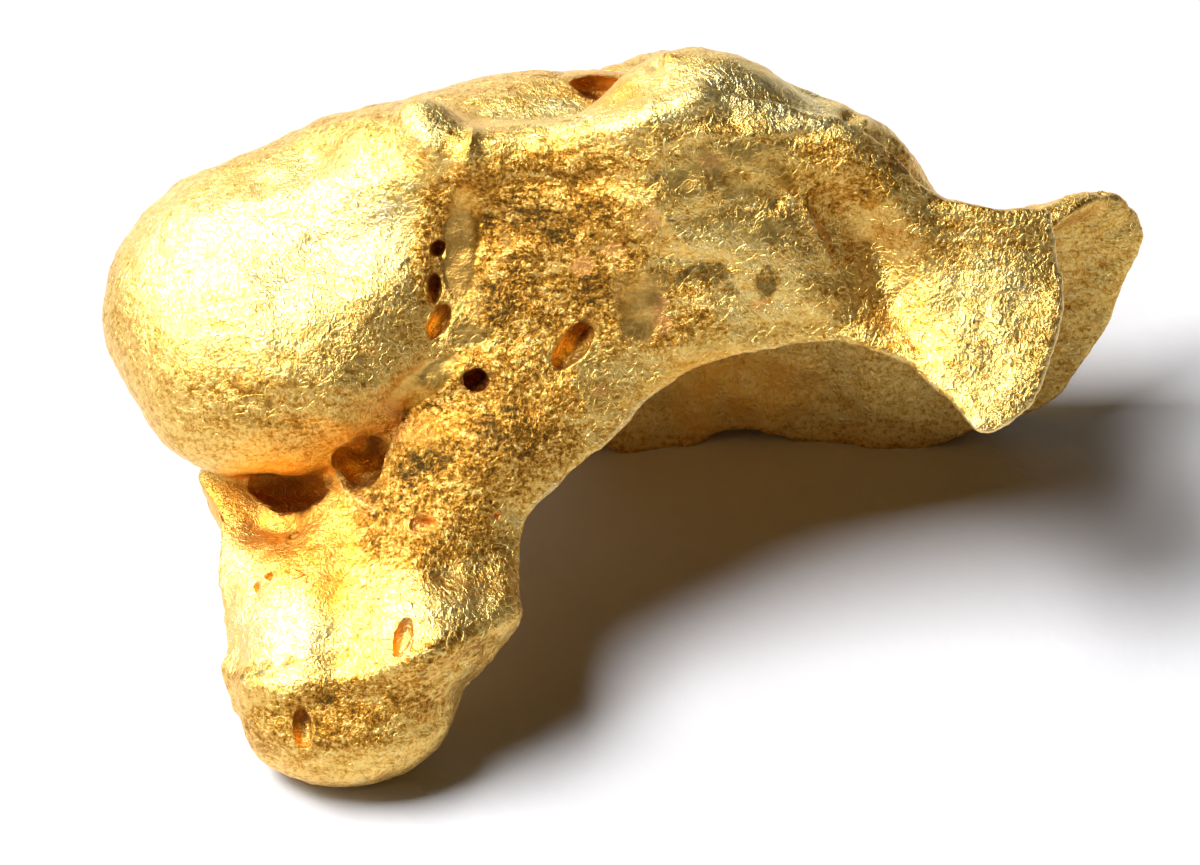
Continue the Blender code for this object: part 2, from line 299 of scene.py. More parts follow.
# %% Sections of the sheets
WALL = [
    [
        (-7.93, 0.0, 1.63, 1.06), (-7.06, -1.1, 1.57, 1.27), (-5.89, -1.36, 1.62, 1.27),
        (-4.84, -1.36, 1.7, 1.27), (-3.81, -0.42, 1.73, 0.51),
    ],
    [
        (-7.93, -0.11, 2.86, 1.27), (-7.05, -1.4, 2.76, 1.27), (-5.78, -1.36, 2.88, 1.27),
        (-4.09, -1.95, 3.31, 1.27), (-2.56, -0.93, 3.38, 0.42),
    ],
    [
        (-8.39, 0.64, 5.08, 1.27), (-7.08, -0.08, 5.09, 1.27), (-5.59, -0.21, 5.37, 1.27),
        (-3.89, -1.06, 5.62, 1.27), (-2.16, -0.76, 5.5, 0.34),
    ],
    [
        (-8.91, 1.7, 6.72, 1.27), (-6.9, 1.48, 7.06, 1.48), (-5.07, 0.21, 7.21, 1.7),
        (-3.25, -1.1, 7.1, 1.27), (-1.44, -0.76, 6.41, 0.34),
    ],
    [
        (-6.25, 0.85, 9.12, 1.48), (-4.74, -0.34, 8.75, 1.7), (-3.21, -0.89, 8.84, 1.27),
        (-1.67, -0.98, 8.16, 0.85), (-0.28, -0.72, 7.44, 0.3),
    ],
    [
        (-3.89, -1.1, 12.6, 1.48), (-3.04, -1.06, 11.54, 1.48), (-1.88, -0.98, 10.48, 1.27),
        (-0.4, -0.98, 9.43, 0.85), (0.87, -0.81, 8.52, 0.3),
    ],
    [
        (-2.3, -1.36, 13.43, 1.27), (-1.04, -1.82, 12.79, 1.27), (0.33, -1.57, 11.53, 1.06),
        (1.6, -1.23, 10.27, 0.72), (2.56, -0.89, 9.24, 0.3),
    ],
    [
        (1.26, -2.06, 14.6, 1.06), (1.85, -2.25, 13.73, 1.19), (2.86, -1.82, 12.27, 0.98),
        (3.82, -1.19, 10.69, 0.64), (4.52, -0.93, 9.47, 0.3),
    ],
    [
        (4.66, -1.4, 14.0, 0.76), (4.93, -1.53, 13.11, 0.85), (5.19, -0.64, 11.75, 0.64),
        (5.56, -0.51, 10.27, 0.47), (5.89, -1.06, 8.98, 0.3),
    ],
    [
        (6.38, -1.06, 12.75, 0.47), (6.56, -0.98, 11.65, 0.47), (6.65, -0.93, 10.49, 0.42),
        (6.77, -1.06, 9.22, 0.34), (6.88, -1.31, 8.2, 0.25),
    ],
    [
        (7.75, -0.85, 12.33, 0.34), (7.82, -0.85, 11.23, 0.34), (7.86, -0.98, 10.07, 0.3),
        (7.8, -1.23, 8.69, 0.27), (7.68, -1.57, 7.53, 0.25),
    ],
    [
        (9.07, -0.55, 12.38, 0.25), (9.22, -0.51, 11.24, 0.25), (9.3, -0.72, 10.17, 0.25),
        (9.07, -1.02, 9.11, 0.25), (8.61, -1.31, 8.07, 0.25),
    ],
]
BACK = [
    [
        (-7.82, 5.64, 7.56, 1.48), (-8.03, 4.5, 8.99, 1.91), (-7.93, 3.15, 10.04, 1.91),
        (-7.67, 1.95, 10.64, 1.91), (-7.08, 1.05, 10.94, 1.91),
    ],
    [
        (-6.34, 6.81, 6.39, 1.7), (-6.34, 5.25, 8.84, 1.91), (-6.23, 3.75, 10.64, 1.91),
        (-6.02, 2.4, 11.69, 1.91), (-5.6, 1.35, 11.84, 1.91),
    ],
    [
        (-4.22, 6.45, 7.65, 1.48), (-4.11, 5.32, 9.82, 1.7), (-4.11, 3.9, 11.69, 1.91),
        (-4.11, 2.25, 12.74, 1.91), (-3.9, 0.45, 13.04, 1.7),
    ],
    [
        (-1.89, 6.75, 7.95, 1.4), (-1.78, 5.62, 10.42, 1.7), (-1.78, 4.2, 12.59, 1.91),
        (-1.78, 2.25, 13.64, 1.91), (-1.67, 0.07, 13.72, 1.7),
    ],
    [
        (0.34, 7.96, 7.18, 1.61), (0.34, 6.0, 10.49, 1.7), (0.34, 4.57, 12.97, 1.91),
        (0.34, 2.4, 14.09, 1.91), (0.34, -0.07, 14.17, 1.48),
    ],
    [
        (2.46, 7.62, 7.86, 1.27), (2.46, 5.88, 10.67, 1.4), (2.46, 4.35, 12.74, 1.61),
        (2.46, 2.4, 13.79, 1.7), (2.46, -0.22, 14.02, 1.48),
    ],
    [
        (4.54, 8.03, 7.5, 1.61), (4.54, 5.92, 10.42, 1.4), (4.54, 4.35, 12.44, 1.4),
        (4.54, 2.32, 13.27, 1.4), (4.54, 0.07, 13.27, 1.27),
    ],
    [
        (5.75, 8.01, 7.23, 1.7), (5.85, 6.0, 10.19, 1.27), (5.85, 4.5, 11.99, 1.14),
        (5.75, 2.55, 12.59, 1.06), (5.64, 0.22, 12.67, 0.93),
    ],
    [
        (7.34, 7.5, 7.74, 1.27), (7.55, 6.15, 10.04, 1.06), (7.44, 4.95, 11.54, 0.93),
        (7.23, 3.07, 11.92, 0.85), (7.02, 0.9, 11.84, 0.68),
    ],
    [
        (8.95, 6.93, 8.06, 0.98), (9.2, 6.07, 10.27, 0.81), (9.24, 5.43, 11.42, 0.72),
        (9.03, 4.48, 12.16, 0.64), (8.61, 3.12, 11.87, 0.51),
    ],
    [
        (10.18, 6.42, 9.29, 0.72), (10.41, 5.88, 10.67, 0.68), (10.52, 5.4, 11.69, 0.64),
        (10.35, 4.95, 12.44, 0.59), (9.92, 4.26, 12.71, 0.47),
    ],
    [
        (10.77, 6.0, 10.37, 0.51), (10.96, 5.73, 11.12, 0.47), (11.11, 5.46, 11.81, 0.47),
        (10.98, 5.19, 12.38, 0.42), (10.6, 4.98, 12.53, 0.38),
    ],
]
SHEETS = {"wall": WALL, "back": BACK}
print("sections:", {name: len(sections) for name, sections in SHEETS.items()})

# %% Drape the sheets
SHEET_STEP = 0.3  # between neighbouring vertices


def run_of(lengths, axis):
    """The longest way along a net, in mm."""
    return np.linalg.norm(lengths, axis=2).sum(axis=axis).max()


def sheet(name, sections):
    """A grid draped through the sections and thickened by the amount each station states."""
    rows = np.asarray(sections, float)
    along = math.ceil(run_of(np.diff(rows[:, :, :3], axis=0), 0) / SHEET_STEP)
    down = math.ceil(run_of(np.diff(rows[:, :, :3], axis=1), 1) / SHEET_STEP)
    lines = spline(rows, np.linspace(0, len(rows) - 1, along + 1))
    net = spline(lines.transpose(1, 0, 2), np.linspace(0, rows.shape[1] - 1, down + 1))
    grid = bmesh.new()
    bmesh.ops.create_grid(grid, x_segments=along, y_segments=down, size=0.5)
    places = [(round((v.co.y + 0.5) * down), round((v.co.x + 0.5) * along)) for v in grid.verts]
    for vertex, place in zip(grid.verts, places):
        vertex.co = net[place][:3]
    mesh = bpy.data.meshes.new(name)
    grid.to_mesh(mesh)
    grid.free()
    made = plain_object(name, mesh)
    group = made.vertex_groups.new(name="thickness")
    thickest = float(net[:, :, 3].max())
    for index, place in enumerate(places):
        group.add([index], float(net[place][3]) / thickest, "REPLACE")
    wall = made.modifiers.new("thickness", "SOLIDIFY")
    wall.thickness = thickest
    wall.offset = 0
    wall.vertex_group = group.name
    return baked(made)


sheets = [sheet(name, sections) for name, sections in SHEETS.items()]
print("faces in the sheets:", [len(one.data.polygons) for one in sheets])

# %% [markdown]
# ## Fuse it into one skin
# Real gold has no seams, so balls and sheets are joined and remeshed with voxels. That keeps only the
# outside and gives even quads. Smoothing then works the seams soft. The strokes are fused alone first,
# with a good deal of smoothing, because the thin rims of the sheets couldn't stand that much.


# %% Join and fuse
def joined(name, things):
    """One object out of several, still overlapping."""
    whole = bmesh.new()
    for thing in things:
        whole.from_mesh(thing.data)
        bpy.data.objects.remove(thing, do_unlink=True)
    mesh = bpy.data.meshes.new(name)
    whole.to_mesh(mesh)
    whole.free()
    return plain_object(name, mesh)


def fused(thing, voxel, rounds):
    """Overlapping pieces made into one skin, with the seams worked soft."""
    remesh = thing.modifiers.new("fuse", "REMESH")
    remesh.mode = "VOXEL"
    remesh.voxel_size = voxel
    soften = thing.modifiers.new("soften", "SMOOTH")
    soften.factor = 0.5
    soften.iterations = rounds
    return baked(thing)


LUMP_VOXEL, LUMP_ROUNDS = 0.15, 12
SKIN_VOXEL, SKIN_ROUNDS = 0.085, 9
lump = fused(joined("lump", strokes), LUMP_VOXEL, LUMP_ROUNDS)
nugget = fused(joined("nugget", [lump, *sheets]), SKIN_VOXEL, SKIN_ROUNDS)
print("skin:", len(nugget.data.vertices), "vertices")

# %% [markdown]
# ## Dents from the river bed
# A broad wandering noise shifts the whole skin, a little more at the back, which is rougher. It moves
# points sideways as well as in and out, so thin rims bend and stay whole. The seed is fixed, which
# gives the same nugget every time.

# %% Broad dents
DENT_DEPTH, BACK_DENT_DEPTH = 0.08, 0.13
BACK_DEPTH = 3.5  # behind the wall's plane, where the rough back begins
DENT_SIZE = 1.5
DENT_SEED = 9


def corners(mesh):
    flat = np.empty(3 * len(mesh.vertices), np.float32)
    mesh.vertices.foreach_get("co", flat)
    return flat.reshape(-1, 3).astype(float)


def normals(mesh):
    flat = np.empty(3 * len(mesh.vertices), np.float32)
    mesh.vertex_normals.foreach_get("vector", flat)
    return flat.reshape(-1, 3).astype(float)


def put_back(mesh, points):
    mesh.vertices.foreach_set("co", points.astype(np.float32).ravel())
    mesh.update()


def wander(points, size, shift=(0, 0, 0)):
    """Vector noise of about unit strength, with lumps of the given size in mm."""
    away = Vector(shift)
    return np.array([noise.noise_vector(Vector(p) / size + away) for p in points])


noise.seed_set(DENT_SEED)
skin = corners(nugget.data)
rough = np.clip(skin[:, 1:2] / BACK_DEPTH, 0, 1)
depth = DENT_DEPTH + rough * (BACK_DENT_DEPTH - DENT_DEPTH)
skin += depth * (wander(skin, DENT_SIZE) + 0.4 * wander(skin, 0.45 * DENT_SIZE, (7, 3, 5)))
put_back(nugget.data, skin)
print("broad dents up to", BACK_DENT_DEPTH, "mm deep")

# %% [markdown]
# ## Marks seen from the front
# The named dints, creases and ledges of the broad wall are easiest to place by where they appear from in
# front, so each point of the skin gets a place (u, v) on an upright glass plate, as seen from 300 mm
# away. A ray towards the eye tells which points are in sight, so a mark doesn't print through to the back.

# %% Places on the plate
EYE = np.array([-0.509, -300.0, 7.473])


def on_plate(points):
    """Where the points appear on a plate at y = 0, in mm."""
    reach = 1 + points[:, 1] / -EYE[1]
    return EYE[0] + (points[:, 0] - EYE[0]) / reach, EYE[2] + (points[:, 2] - EYE[2]) / reach


def in_sight(thing, points, facing):
    """1 for points that the eye sees, and 0 for the rest."""
    tree = BVHTree.FromObject(thing, bpy.context.evaluated_depsgraph_get())
    found = np.zeros(len(points))
    for index in np.nonzero(facing[:, 1] < 0.25)[0]:
        start = Vector(points[index])
        ahead = (Vector(EYE) - start).normalized()
        found[index] = tree.ray_cast(start + 0.12 * ahead, ahead)[0] is None
    return found


def blended(thing, values, rounds):
    """Values averaged with their neighbours, so that a mark has no hard border on the skin."""
    mesh = thing.data
    pairs = np.empty(2 * len(mesh.edges), int)
    mesh.edges.foreach_get("vertices", pairs)
    a, b = pairs.reshape(-1, 2).T
    count = np.bincount(a, minlength=len(values)) + np.bincount(b, minlength=len(values))
    for _ in range(rounds):
        total = np.bincount(a, values[b], len(values)) + np.bincount(b, values[a], len(values))
        values = 0.5 * values + 0.5 * total / np.maximum(count, 1)
    return values


bpy.context.view_layer.update()
seen = blended(nugget, in_sight(nugget, skin, normals(nugget.data)), 3)
u, v = on_plate(skin)
print("in sight:", round(100 * float((seen > 0.5).mean())), "% of the skin")

# %% Dints, creases and ledges
# Dints: (u, v, half width, half height, turn in degrees, depth), where a negative depth raises.
DINTS = [
    (2.57, 12.57, 1.7, 1.1, -8, 0.212),
    (1.61, 13.25, 0.95, 0.55, -10, 0.085),
    (4.73, 14.29, 0.23, 0.19, 0, 0.148),
    (5.09, 14.14, 0.17, 0.15, 0, -0.127),
    (3.33, 12.47, 0.21, 0.28, 10, 0.106),
    (-6.64, 13.46, 0.81, 0.64, -35, 0.254),
    (-7.63, 12.91, 0.55, 0.25, -20, 0.085),
    (-3.39, 13.5, 0.42, 0.76, -15, -0.297),
    (-8.84, 11.55, 0.19, 0.3, 10, 0.064),
    (-6.13, 4.77, 0.93, 1.7, 5, -0.191),
    (2.5, 14.27, 1.4, 0.47, 8, 0.191),
    (2.35, 15.24, 1.27, 0.51, 18, -0.085),
    (-3.65, 4.73, 0.98, 0.85, 0, 0.254),
    (-8.4, 2.57, 0.19, 0.28, 0, -0.148),
    (0.66, 15.43, 0.19, 0.21, 0, 0.106),
    (0.93, 15.58, 0.3, 0.15, 0, -0.085),
    (-4.37, 14.14, 0.38, 0.47, 0, -0.064),
    (-3.52, 11.55, 0.55, 1.06, 5, 0.021),
    (-0.25, 11.41, 0.64, 0.55, 0, 0.085),
    (1.61, 10.96, 0.85, 0.51, 0, 0.106),
    (-1.36, 11.89, 0.64, 0.55, 0, 0.085),
    (-2.63, 10.28, 0.55, 0.72, 10, -0.085),
    (-1.99, 8.16, 0.72, 0.59, 20, 0.085),
    (-3.05, 7.31, 0.64, 0.55, 0, -0.085),
    (-4.96, 2.01, 0.85, 0.55, 0, 0.085),
    (-6.23, 1.06, 0.85, 0.47, 0, -0.064),
    (7.65, 10.28, 1.27, 1.48, 0, 0.064),
    (5.96, 13.46, 0.34, 0.55, -30, -0.085),
    (4.16, 10.49, 0.85, 0.51, -10, -0.085),
    (2.88, 10.28, 0.76, 0.42, 0, 0.064),
    (-0.93, 13.25, 0.72, 0.38, -10, -0.064),
    (-1.36, 12.87, 2.54, 0.51, -4, 0.191),
    (4.47, 14.1, 0.85, 0.42, 20, -0.148),
    (-2.63, 12.08, 0.98, 0.85, 0, 0.127),
    (4.47, 12.61, 1.06, 0.72, 0, 0.127),
    (-2.63, 3.92, 0.51, 1.4, 10, -0.254),
    (-4.64, 7.53, 0.55, 0.85, -20, -0.191),
    (-3.9, 7.0, 1.06, 1.27, 0, 0.127),
    (-7.55, 5.79, 1.27, 0.85, 0, 0.636),
    (-5.91, 6.47, 0.55, 0.64, 0, 0.127),
    (4.05, 14.84, 0.85, 0.51, 30, 0.127),
]
# Creases: points, half width, depth. Ledges: points, drop below the line, reach of the drop.
LINES = [
    ([(-8.23, 2.31), (-7.08, 2.01), (-5.81, 2.23), (-4.32, 2.76), (-3.26, 3.24),
      (-2.63, 3.67)], 0.36, -0.191),
    ([(-3.18, 13.63), (-2.2, 13.78), (-1.14, 13.86), (-0.08, 14.03), (0.76, 14.37),
      (1.61, 14.69)], 0.36, -0.276),
    ([(-4.94, 8.31), (-4.35, 8.84), (-3.52, 9.29), (-2.63, 9.39)], 0.25, 0.042),
    ([(-6.15, 6.87), (-5.98, 6.32), (-5.34, 5.87)], 0.13, -0.127),
    ([(3.9, 12.27), (4.05, 11.91), (4.3, 11.36), (4.39, 11.11)], 0.11, -0.064),
    ([(0.64, 12.38), (1.02, 11.94), (1.44, 11.47)], 0.08, -0.042),
    ([(-4.11, 2.18), (-3.58, 2.65), (-3.05, 3.07)], 0.13, 0.085),
    ([(-4.3, 1.17), (-3.73, 1.67), (-3.26, 2.14)], 0.13, 0.064),
    ([(0.76, 11.34), (1.4, 11.21), (2.25, 11.09)], 0.13, 0.064),
    ([(5.96, 13.93), (6.28, 13.25), (6.81, 12.61)], 0.15, 0.064),
]
LEDGES = [
    ([(0.4, 12.49), (0.55, 12.97), (0.64, 13.23), (0.89, 13.67), (1.14, 13.86), (2.14, 13.97),
      (3.14, 13.93), (4.3, 14.16), (4.83, 14.16)], 0.127, 1.91),
]


def turned(u, v, degrees):
    c, s = math.cos(math.radians(degrees)), math.sin(math.radians(degrees))
    return c * u - s * v, s * u + c * v


def in_oval(u, v, row):
    """How far out of an oval each place is: 0 at its middle and 1 on its edge."""
    across, up = turned(u - row[0], v - row[1], row[4])
    return np.hypot(across / row[2], up / row[3])


def to_line(u, v, points):
    """The distance to a bent line, its side (1 to the right, going along) and how far along it that is."""
    near, side, along = np.full(len(u), np.inf), np.zeros(len(u)), np.zeros(len(u))
    for piece, ((ax, ay), (bx, by)) in enumerate(zip(points[:-1], points[1:])):
        dx, dy = bx - ax, by - ay
        t = np.clip(((u - ax) * dx + (v - ay) * dy) / (dx * dx + dy * dy), 0, 1)
        gap = np.hypot(u - ax - t * dx, v - ay - t * dy)
        closer = gap < near
        near[closer] = gap[closer]
        side[closer] = np.sign((u - ax) * dy - (v - ay) * dx)[closer]
        along[closer] = ((piece + t) / (len(points) - 1))[closer]
    return near, side, along


def step(x, start, end):
    """A smooth rise from 0 at start to 1 at end."""
    t = np.clip((x - start) / (end - start), 0, 1)
    return t * t * (3 - 2 * t)


sink = np.zeros(len(skin))
for row in DINTS:
    sink += row[5] * np.exp(-2 * in_oval(u, v, row) ** 2)
for points, width, deep in LINES:
    sink += deep * np.exp(-((to_line(u, v, points)[0] / width) ** 2))
for points, drop, reach in LEDGES:
    near, side, along = to_line(u, v, points)
    below = near * side
    ends = step(along, 0.0, 0.25) * step(-along, -1.0, -0.85)
    sink += drop * ends * step(below, -0.06, 0.12) * step(below, reach, 0.1 * reach)
skin -= (sink * seen)[:, None] * normals(nugget.data)
put_back(nugget.data, skin)
print("deepest dint:", round(float((sink * seen).max()), 2), "mm")

# %% [markdown]
# ## Geometry nodes that roughen the skin
# Sand has battered every part of the surface, so the next relief follows the whole skin by one rule. A
# noise texture in a tree moves each point along its normal. There are shallow hammered facets of about
# half a millimetre and small grains between them. The finest grain is left to the material.

# %% The tree of river wear
river_wear = geometry_tree(
    "river wear",
    {
        "Hammer Size": ("NodeSocketFloat", 0.7),
        "Hammer Depth": ("NodeSocketFloat", 0.05),
        "Grain Size": ("NodeSocketFloat", 0.2),
        "Grain Depth": ("NodeSocketFloat", 0.02),
        "Seed": ("NodeSocketFloat", 4.0),
        "Metal": ("NodeSocketMaterial", None),
    },
)
entry = river_wear.nodes.new("NodeGroupInput")
place = add(river_wear, "GeometryNodeInputPosition").outputs["Position"]
normal = add(river_wear, "GeometryNodeInputNormal").outputs["Normal"]


def relief(size, depth, detail):
    """A height that swings between plus and minus half the depth."""
    dense = add(river_wear, "ShaderNodeMath", {"operation": "DIVIDE"})
    dense.inputs[0].default_value = 1.0
    river_wear.links.new(entry.outputs[size], dense.inputs[1])
    field = add(
        river_wear,
        "ShaderNodeTexNoise",
        {"noise_dimensions": "4D"},
        Vector=place,
        W=entry.outputs["Seed"],
        Scale=dense.outputs[0],
        Detail=detail,
        Roughness=0.55,
    )
    middle = add(river_wear, "ShaderNodeMath", {"operation": "SUBTRACT"})
    middle.inputs[1].default_value = 0.5
    river_wear.links.new(field.outputs[0], middle.inputs[0])
    height = add(river_wear, "ShaderNodeMath", {"operation": "MULTIPLY"})
    river_wear.links.new(middle.outputs[0], height.inputs[0])
    river_wear.links.new(entry.outputs[depth], height.inputs[1])
    return height.outputs[0]


both = add(river_wear, "ShaderNodeMath", {"operation": "ADD"})
river_wear.links.new(relief("Hammer Size", "Hammer Depth", 1.0), both.inputs[0])
river_wear.links.new(relief("Grain Size", "Grain Depth", 2.0), both.inputs[1])
along = add(river_wear, "ShaderNodeVectorMath", {"operation": "SCALE"}, Scale=both.outputs[0])
river_wear.links.new(normal, along.inputs[0])
moved = add(
    river_wear,
    "GeometryNodeSetPosition",
    Geometry=entry.outputs["Mesh"],
    Offset=along.outputs["Vector"],
)
solid = add(river_wear, "GeometryNodeRealizeInstances", Geometry=moved.outputs["Geometry"])
dressed = add(
    river_wear,
    "GeometryNodeSetMaterial",
    Geometry=solid.outputs["Geometry"],
    Material=entry.outputs["Metal"],
)
leave = river_wear.nodes.new("NodeGroupOutput")
river_wear.links.new(dressed.outputs["Geometry"], leave.inputs["Mesh"])
run_tree(
    nugget,
    river_wear,
    {
        "Hammer Size": 0.8,
        "Hammer Depth": 0.13,
        "Grain Size": 0.26,
        "Grain Depth": 0.08,
        "Seed": 4.0,
        "Metal": gold,
    },
)
print("worn skin:", len(nugget.data.vertices), "vertices")

# %% [markdown]
# ## Thin it where it doesn't show
# A voxel skin spends as many faces on a smooth back as on a sharp rim. Decimate removes them where the
# surface bends least, and a weight keeps more of them on the front.

# %% Thin the skin
TRIANGLES = 176000


def thinned(thing, triangles):
    thing.data.calc_loop_triangles()
    thin = thing.modifiers.new("thin", "DECIMATE")
    thin.ratio = min(1, triangles / len(thing.data.loop_triangles))
    thin.use_collapse_triangulate = True
    return baked(thing)


thinned(nugget, TRIANGLES)
print("after thinning:", len(nugget.data.polygons), "triangles")

# %% [markdown]
# ## Pits where quartz sat
# Each pit is an uneven egg taken out of the solid, so its brim stays crisp. A boolean cut gives such
# a brim, while a pushed-in dint would round it over.

# %% Cut the pits
# Pits: (u, v, half width, half height, depth, turn in degrees), the rest in mm.
HOLES = [
    (-5.62, 7.04, 0.61, 0.64, 0.72, -20),
    (-7.04, 6.3, 1.14, 0.51, 0.64, 4),
    (-1.08, 9.41, 0.3, 0.61, 0.51, 38),
    (-3.16, 8.67, 0.28, 0.25, 0.51, 0),
    (-3.94, 9.92, 0.21, 0.4, 0.38, 28),
    (-4.03, 10.64, 0.15, 0.32, 0.36, 0),
    (-3.96, 11.49, 0.15, 0.19, 0.32, 20),
    (-4.3, 5.58, 0.3, 0.19, 0.19, 0),
    (-4.71, 3.18, 0.19, 0.51, 0.19, 14),
    (-6.85, 1.17, 0.21, 0.49, 0.34, -4),
    (-0.42, 14.9, 0.76, 0.36, 0.59, 6),
    (-7.02, 5.34, 0.15, 0.11, 0.17, 0),
    (-7.55, 4.47, 0.08, 0.08, 0.15, 0),
    (-7.82, 4.22, 0.06, 0.08, 0.13, 0),
    (-2.71, 5.77, 0.08, 0.06, 0.08, 0),
    (-2.84, 6.06, 0.04, 0.04, 0.08, 0),
]
EGG_UNEVEN = 0.16  # of a radius


def egg(index, row):
    """A lumpy egg centred on the skin that is seen at u and v."""
    u0, v0, half_width, half_height, deep, turn = row
    ahead = Vector((u0, 0, v0)) - Vector(EYE)
    hit, surface, _, _ = nugget.ray_cast(Vector(EYE), ahead.normalized())
    if not hit:
        raise ValueError(f"pit {index} misses the nugget")
    made = bmesh.new()
    bmesh.ops.create_icosphere(made, subdivisions=4, radius=1)
    for vertex in made.verts:
        vertex.co += EGG_UNEVEN * noise.noise_vector(1.3 * vertex.co + Vector((index, 2 * index, 5)))
    size = Matrix.Diagonal((half_width, deep, half_height, 1))
    shape = Matrix.Rotation(math.radians(turn), 4, "Y") @ size
    bmesh.ops.transform(made, matrix=Matrix.Translation(surface) @ shape, verts=made.verts)
    mesh = bpy.data.meshes.new(f"egg_{index}")
    made.to_mesh(mesh)
    made.free()
    return plain_object(mesh.name, mesh), surface


def cut(thing, cutter):
    boolean = thing.modifiers.new(cutter.name, "BOOLEAN")
    boolean.operation = "DIFFERENCE"
    boolean.solver = "MANIFOLD"
    boolean.object = cutter
    baked(thing)
    bpy.data.objects.remove(cutter, do_unlink=True)


bpy.context.view_layer.update()
eggs = [egg(index, row) for index, row in enumerate(HOLES)]
pit_places = [surface.copy() for _, surface in eggs]
for cutter, _ in eggs:
    cut(nugget, cutter)
print("with", len(HOLES), "pits:", len(nugget.data.polygons), "faces")

# %% [markdown]
# ## Lean it back and set it down
# The nugget rests on its foot and on the heels of its back wall, with the broad wall leaning back by 45
# degrees. A block takes off what would be under the floor. Then the skin is fitted to the box of the
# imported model, which it stands for, and turned to metres.

# %% Rest on the floor
LEAN = math.radians(45)
BLOCK_SIDE, BLOCK_DEPTH = 40, 10
BLOCK_BACK = 8  # the block's middle lies this far back


def floor_block():
    block = bmesh.new()
    size = Matrix.Diagonal((BLOCK_SIDE, BLOCK_SIDE, BLOCK_DEPTH, 1))
    shape = Matrix.Translation((0, BLOCK_BACK, -BLOCK_DEPTH / 2)) @ size
    bmesh.ops.create_cube(block, size=1, matrix=shape)
    mesh = bpy.data.meshes.new("floor_block")
    block.to_mesh(mesh)
    block.free()
    return plain_object("floor_block", mesh)


nugget.data.transform(Matrix.Rotation(-LEAN, 4, "X"))
cut(nugget, floor_block())
rested = corners(nugget.data)
upright = rested @ np.array(Matrix.Rotation(-LEAN, 3, "X"))
low, high = rested.min(axis=0), rested.max(axis=0)
print("size before the fit:", np.round(high - low, 3), "mm")
stretch = (high_corner - low_corner) / (high - low)
fitted = low_corner + (rested - low) * stretch
put_back(nugget.data, fitted)
print("fit:", np.round(stretch / MM, 4))

# %% [markdown]
# ## Masks for the finish and for painted light
# The colour of a real nugget changes over its skin: rust in the pits, black sand caught in the rough
# parts, a film on smooth ones and pale scratches. Other masks paint light and shade onto the skin: painted
# shade over the broad wall, the lower bulb and the foot, painted shade with red in the bottoms of pits,
# painted orange bounce light under the arch, painted highlights on the bulb top, crest, leg and tab, and a
# painted highlight along the thin rim. Each gets a mask, one number per point, that the material reads as
# an attribute. Soft ovals and bands lay it out here, and the material breaks their edges up with noise.

# %% Skin ready for painting
skin_bm = bmesh.new()
skin_bm.from_mesh(nugget.data)
bmesh.ops.triangulate(skin_bm, faces=skin_bm.faces)
skin_bm.to_mesh(nugget.data)
skin_bm.free()
nugget.data.polygons.foreach_set("use_smooth", [True] * len(nugget.data.polygons))
nugget.data.materials.clear()
nugget.data.materials.append(gold)
bpy.context.view_layer.update()
print("triangles:", len(nugget.data.polygons))

# %% Places of the finished skin
upright = (corners(nugget.data) - low_corner) / stretch + low
upright = upright @ np.array(Matrix.Rotation(-LEAN, 3, "X"))
facing = normals(nugget.data) @ np.array(Matrix.Rotation(-LEAN, 3, "X"))
u, v = on_plate(upright)
pale_side = step(-facing[:, 1], -0.25, 0.2) * step(-upright[:, 1], -2.6, -1.6)
print("points painted from the front:", int((pale_side > 0.5).sum()))
